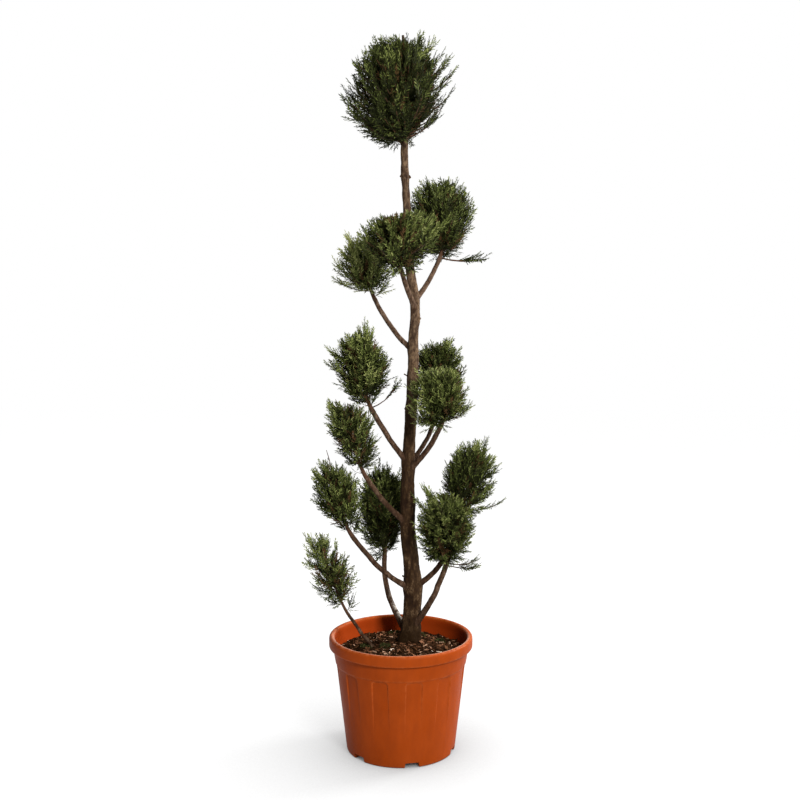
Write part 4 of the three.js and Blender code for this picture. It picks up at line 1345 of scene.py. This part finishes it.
def shoot_leaves(plumes, draw):
    """Shoots alternate along each plume, shorter towards its tip, each a row of leaves that overlap."""
    heading, aside = plumes.heading[:, None], plumes.aside[:, None]
    face = np.cross(heading, aside)
    order = np.arange(SHOOTS) + draw.uniform(*SHOOT_PLACE, (len(heading), SHOOTS))
    share = SHOOT_SPAN[0] + SHOOT_SPAN[1] * order / SHOOTS
    side = np.where(np.arange(SHOOTS) % 2, 1.0, -1.0)
    lean = draw.uniform(*SHOOT_ANGLE, share.shape) * (1 - SHOOT_CLOSING * share)
    way = heading * np.cos(lean)[..., None] + aside * (np.sin(lean) * side)[..., None]
    way = unit(way + face * draw.normal(0, SHOOT_WAVE, share.shape)[..., None])
    reach = plumes.length[:, None] * (SHOOT_REACH[0] - SHOOT_REACH[1] * share)
    reach = reach * draw.uniform(*SHOOT_SPREAD, share.shape)
    across = unit(np.cross(face, way))[:, :, None]
    step = np.arange(LEAVES_ON_SHOOT)
    turn = np.where(step % 2, LEAF_TURN, -LEAF_TURN)[:, None]
    along = (LEAF_STEP * step * reach[..., None])[..., None]
    root = plume_point(plumes, share)[:, :, None] + way[:, :, None] * along
    leaf_way = way[:, :, None] * np.cos(turn) + across * np.sin(turn)
    leaf_across = across * np.cos(turn) - way[:, :, None] * np.sin(turn)
    length = np.repeat(LEAF_LENGTH * reach[..., None], LEAVES_ON_SHOOT, -1)
    return leaf_points(root, leaf_way, leaf_across, length).reshape(len(heading), -1, 4, 3), share


print("leaves on the shoots of a plume", SHOOTS * LEAVES_ON_SHOOT)

# %% Spine leaves
LEAVES_ON_SPINE = 7
SPINE_SPAN, SPINE_TURN, SPINE_LENGTH, SPINE_SPREAD = (0.03, 0.85), 0.2, 0.24, (0.85, 1.2)
SPINE_CHANCE = -0.3


def spine_leaves(plumes, draw):
    """Leaves along the plume's own spine, turned a little to each side in turn, the last one straight."""
    heading = plumes.heading[:, None]
    face = np.cross(heading, plumes.aside[:, None])
    step = np.arange(LEAVES_ON_SPINE)
    share = np.tile(SPINE_SPAN[0] + SPINE_SPAN[1] * step / (LEAVES_ON_SPINE - 1), (len(heading), 1))
    turn = (np.where(step % 2, SPINE_TURN, -SPINE_TURN) * (step < LEAVES_ON_SPINE - 1))[:, None]
    bent = unit(heading + 2 * PLUME_BEND * share[..., None] * UP)
    across = unit(np.cross(face, bent))
    length = plumes.length[:, None] * SPINE_LENGTH * draw.uniform(*SPINE_SPREAD, share.shape)
    way = bent * np.cos(turn) + across * np.sin(turn)
    leaf_across = across * np.cos(turn) - bent * np.sin(turn)
    return leaf_points(plume_point(plumes, share), way, leaf_across, length), share


def grow_leaves(plumes, draw):
    """Every leaf's corners, how far along its plume it sits, and a chance value that its shoot shares."""
    outer, outer_share = shoot_leaves(plumes, draw)
    spine, spine_share = spine_leaves(plumes, draw)
    outer_chance = draw.uniform(-1, 1, outer_share.shape)
    shares = np.concatenate([np.repeat(outer_share, LEAVES_ON_SHOOT, 1), spine_share], 1)
    spine_chance = np.full_like(spine_share, SPINE_CHANCE)
    chance = np.concatenate([np.repeat(outer_chance, LEAVES_ON_SHOOT, 1), spine_chance], 1)
    return np.concatenate([outer, spine], 1), shares, chance


print("leaves on a plume", SHOOTS * LEAVES_ON_SHOOT + LEAVES_ON_SPINE)

# %% [markdown]
# ## Leaf tints
# The foliage is darker deep in the ball, a painted shade, fresher at the tips, and yellower high in the ball,
# a painted light where the light falls on top. A pattern would land at random on thousands of small faces, so
# each shoot is simply given one of five plain greens: by its plume's depth and height in the ball, its own
# place along the plume, and chance. A few old plumes deep in the ball are brown.

# %% Leaf materials
LEAF_TINTS = {
    "leaf_shaded": (0.012, 0.014, 0.004),
    "leaf_deep": (0.034, 0.041, 0.010),
    "leaf_green": (0.074, 0.091, 0.022),
    "leaf_fresh": (0.140, 0.162, 0.043),
    "leaf_young": (0.235, 0.248, 0.085),
    "leaf_old_brown": (0.072, 0.040, 0.016),
}
leaf_materials = [plain_material(name, tint, roughness=0.6, specular=0.05)
                  for name, tint in LEAF_TINTS.items()]
TINT_STEPS = np.array([0.32, 0.57, 0.80, 0.99])
SHADE_DEPTH_WEIGHT, TOP_LIGHT_WEIGHT, TIP_WEIGHT, CHANCE_WEIGHT = 0.95, 0.13, 0.30, 0.44
PLUME_CHANCE = (0.185, 0.085)
MEAN_DEPTH, MEAN_SHARE = 0.55, 0.55
BROWN_DEPTH, BROWN_SHARE = 0.8, 0.20


def deal_tints(ball, plumes, shares, chance, draw):
    """A shoot's tint: painted shade deep in the ball, painted light high up, lighter towards its tip, and
    chance.

    A few plumes deep in the ball are old and brown.
    """
    upward = in_ball(ball, plumes.place)[:, 2]
    score = SHADE_DEPTH_WEIGHT * (np.minimum(plumes.depth, 1.0) - MEAN_DEPTH) + TOP_LIGHT_WEIGHT * upward
    score = score + plumes.warmth + ball.fresh_and_light
    score = score + draw.normal(*PLUME_CHANCE, len(plumes.length))
    shoot_score = score[:, None] + TIP_WEIGHT * (shares - MEAN_SHARE) + CHANCE_WEIGHT * chance
    tint = np.searchsorted(TINT_STEPS, shoot_score)
    brown = (plumes.depth < BROWN_DEPTH) & (draw.random(len(score)) < BROWN_SHARE)
    return np.where(brown[:, None], len(LEAF_TINTS) - 1, tint)


print("leaf tints", len(leaf_materials))

# %% [markdown]
# ## Stems and twigs
# Inside a ball the wood is thin and half hidden, but its dark lines show between the sprays. Curves with a
# round bevel could draw it. Here one function makes closed tubes of four sides for all twigs at once, which
# stays light, and each twig takes one of three plain bark tints. The top ball sits on the trunk itself, so it
# has no stem of its own, and three forks show under it instead.

# %% Twig tubes
TWIG_RINGS, TWIG_SIDES = 5, 4
TWIG_TINTS = {"twig_bark": (0.055, 0.028, 0.016), "twig_red": (0.074, 0.033, 0.018),
              "twig_grey": (0.042, 0.029, 0.020)}
twig_finishes = [plain_material(name, tint, roughness=0.85, specular=0.05)
                 for name, tint in TWIG_TINTS.items()]


def twig_tubes(starts, middles, ends, girth):
    """Many thin tubes at once: a few rings along each curve, narrowing evenly, closed by end points."""
    count = len(starts)
    share = np.tile(np.linspace(0, 1, TWIG_RINGS), (count, 1))
    path, along = arc(starts[:, None], middles[:, None], ends[:, None], share)
    side = unit(np.cross(along, UP + NUDGE))
    back = np.cross(along, side)
    angle = np.linspace(0, 2 * np.pi, TWIG_SIDES, endpoint=False)[:, None]
    spoke = side[:, :, None] * np.cos(angle) + back[:, :, None] * np.sin(angle)
    radius = girth[:, :1] + (girth[:, 1:] - girth[:, :1]) * share
    rings = path[:, :, None] + spoke * radius[..., None, None]
    each = TWIG_RINGS * TWIG_SIDES + 2
    points = np.concatenate([rings.reshape(count, -1, 3), path[:, :1], path[:, -1:]], 1)
    quads, fans = tube_faces(TWIG_RINGS, TWIG_SIDES)
    offset = each * np.arange(count)[:, None, None]
    return points.reshape(-1, 3), (quads + offset).reshape(-1, 4), (fans + offset).reshape(-1, 3)


print("faces on a twig", sum(len(faces) for faces in tube_faces(TWIG_RINGS, TWIG_SIDES)))

# %% Stem tubes and twig tints
STEM_SIDES = 8
STEM_REFERENCE = unit(np.array([0.31, 0.95, 0.05]))


def stem_tube(ball):
    """The ball's stem as one closed tube of a few sides that narrows to its end."""
    surface, _ = limb_surface(ball.stem, ball.girths, STEM_REFERENCE, STEM_SIDES, relief=0.3 * MM,
                              cell=(5 * MM, 5 * MM, 12 * MM), seed=77)
    quads, fans = tube_faces(*surface.shape[:2])
    return np.concatenate([surface.reshape(-1, 3), ball.stem[:1], ball.stem[-1:]]), quads, fans


def twig_shades(count, quads, triangles, draw):
    """A finish for each face: one by chance for each twig, the first for the stem or forks after them."""
    tint = draw.integers(0, len(twig_finishes), count)
    shades = []
    for faces, each in ((quads, TWIG_SIDES * (TWIG_RINGS - 1)), (triangles, TWIG_SIDES * 2)):
        shade = np.zeros(len(faces), int)
        shade[:count * each] = np.repeat(tint, each)
        shades.append(shade)
    return np.concatenate(shades)


print("twig tints", len(twig_finishes))

# %% Grow every ball
SEED, SEED_STEP = 41, 101
PIECE_LIMIT = 180000
TWIG_GIRTH, FULL_TWIG, GIRTH_RANGE = (1.3 * MM, 0.5 * MM), 60 * MM, (0.7, 1.5)


def join(parts):
    """Joins lists of points, quads and triangles into one, renumbering the faces."""
    shift, points, quads, triangles = 0, [], [], []
    for part_points, part_quads, part_triangles in parts:
        points.append(part_points)
        quads.append(part_quads + shift)
        triangles.append(part_triangles + shift)
        shift += len(part_points)
    return np.concatenate(points), np.concatenate(quads), np.concatenate(triangles)


def grow_ball(ball, number):
    """One ball's two pieces: its stem and twigs in bark, and its leaves in their tints."""
    seed = SEED + SEED_STEP * number
    draw = np.random.default_rng(seed)
    twigs = grow_twigs(ball, seed, draw)
    plumes = grow_plumes(ball, twigs, seed, draw)
    corners, shares, chance = grow_leaves(plumes, draw)
    tints = deal_tints(ball, plumes, shares, chance, draw)
    part_count = 1 + tints.size * len(LEAF_FACES) // PIECE_LIMIT
    for part, chosen in enumerate(np.array_split(np.arange(len(tints)), part_count)):
        shade = tints[chosen].ravel()
        first = corners.shape[-2] * np.arange(shade.size)
        triangles = (LEAF_FACES + first[:, None, None]).reshape(-1, 3)
        leaves = put_mesh(f"leaves_{ball.name}_{part}", corners[chosen].reshape(-1, 3), None, triangles,
                          leaf_materials, np.repeat(shade, len(LEAF_FACES)), smooth=False)
        keep(leaves, "foliage", f"foliage_{ball.name}")
    length = np.linalg.norm(twigs[2] - twigs[0], axis=-1, keepdims=True)
    girth = np.array([TWIG_GIRTH]) * np.clip(length / FULL_TWIG, *GIRTH_RANGE)
    parts = [twig_tubes(*twigs[:3], girth)]
    if ball.girths is None:
        parts.append(twig_tubes(*np.swapaxes(TOP_FORKS, 0, 1), FORK_GIRTH))
    else:
        parts.append(stem_tube(ball))
    points, quads, fans = join(parts)
    shades = twig_shades(len(girth), quads, fans, draw)
    wood = put_mesh(f"twigs_{ball.name}", points, quads, fans, twig_finishes, shades)
    keep(wood, "bough_bark")
    return tints.size * len(LEAF_FACES), len(wood.data.polygons)


counts = np.array([grow_ball(ball, number) for number, ball in enumerate(balls)])
print("leaf triangles", counts[:, 0].tolist(), "in all", counts[:, 0].sum(), "twig faces", counts[:, 1].sum())
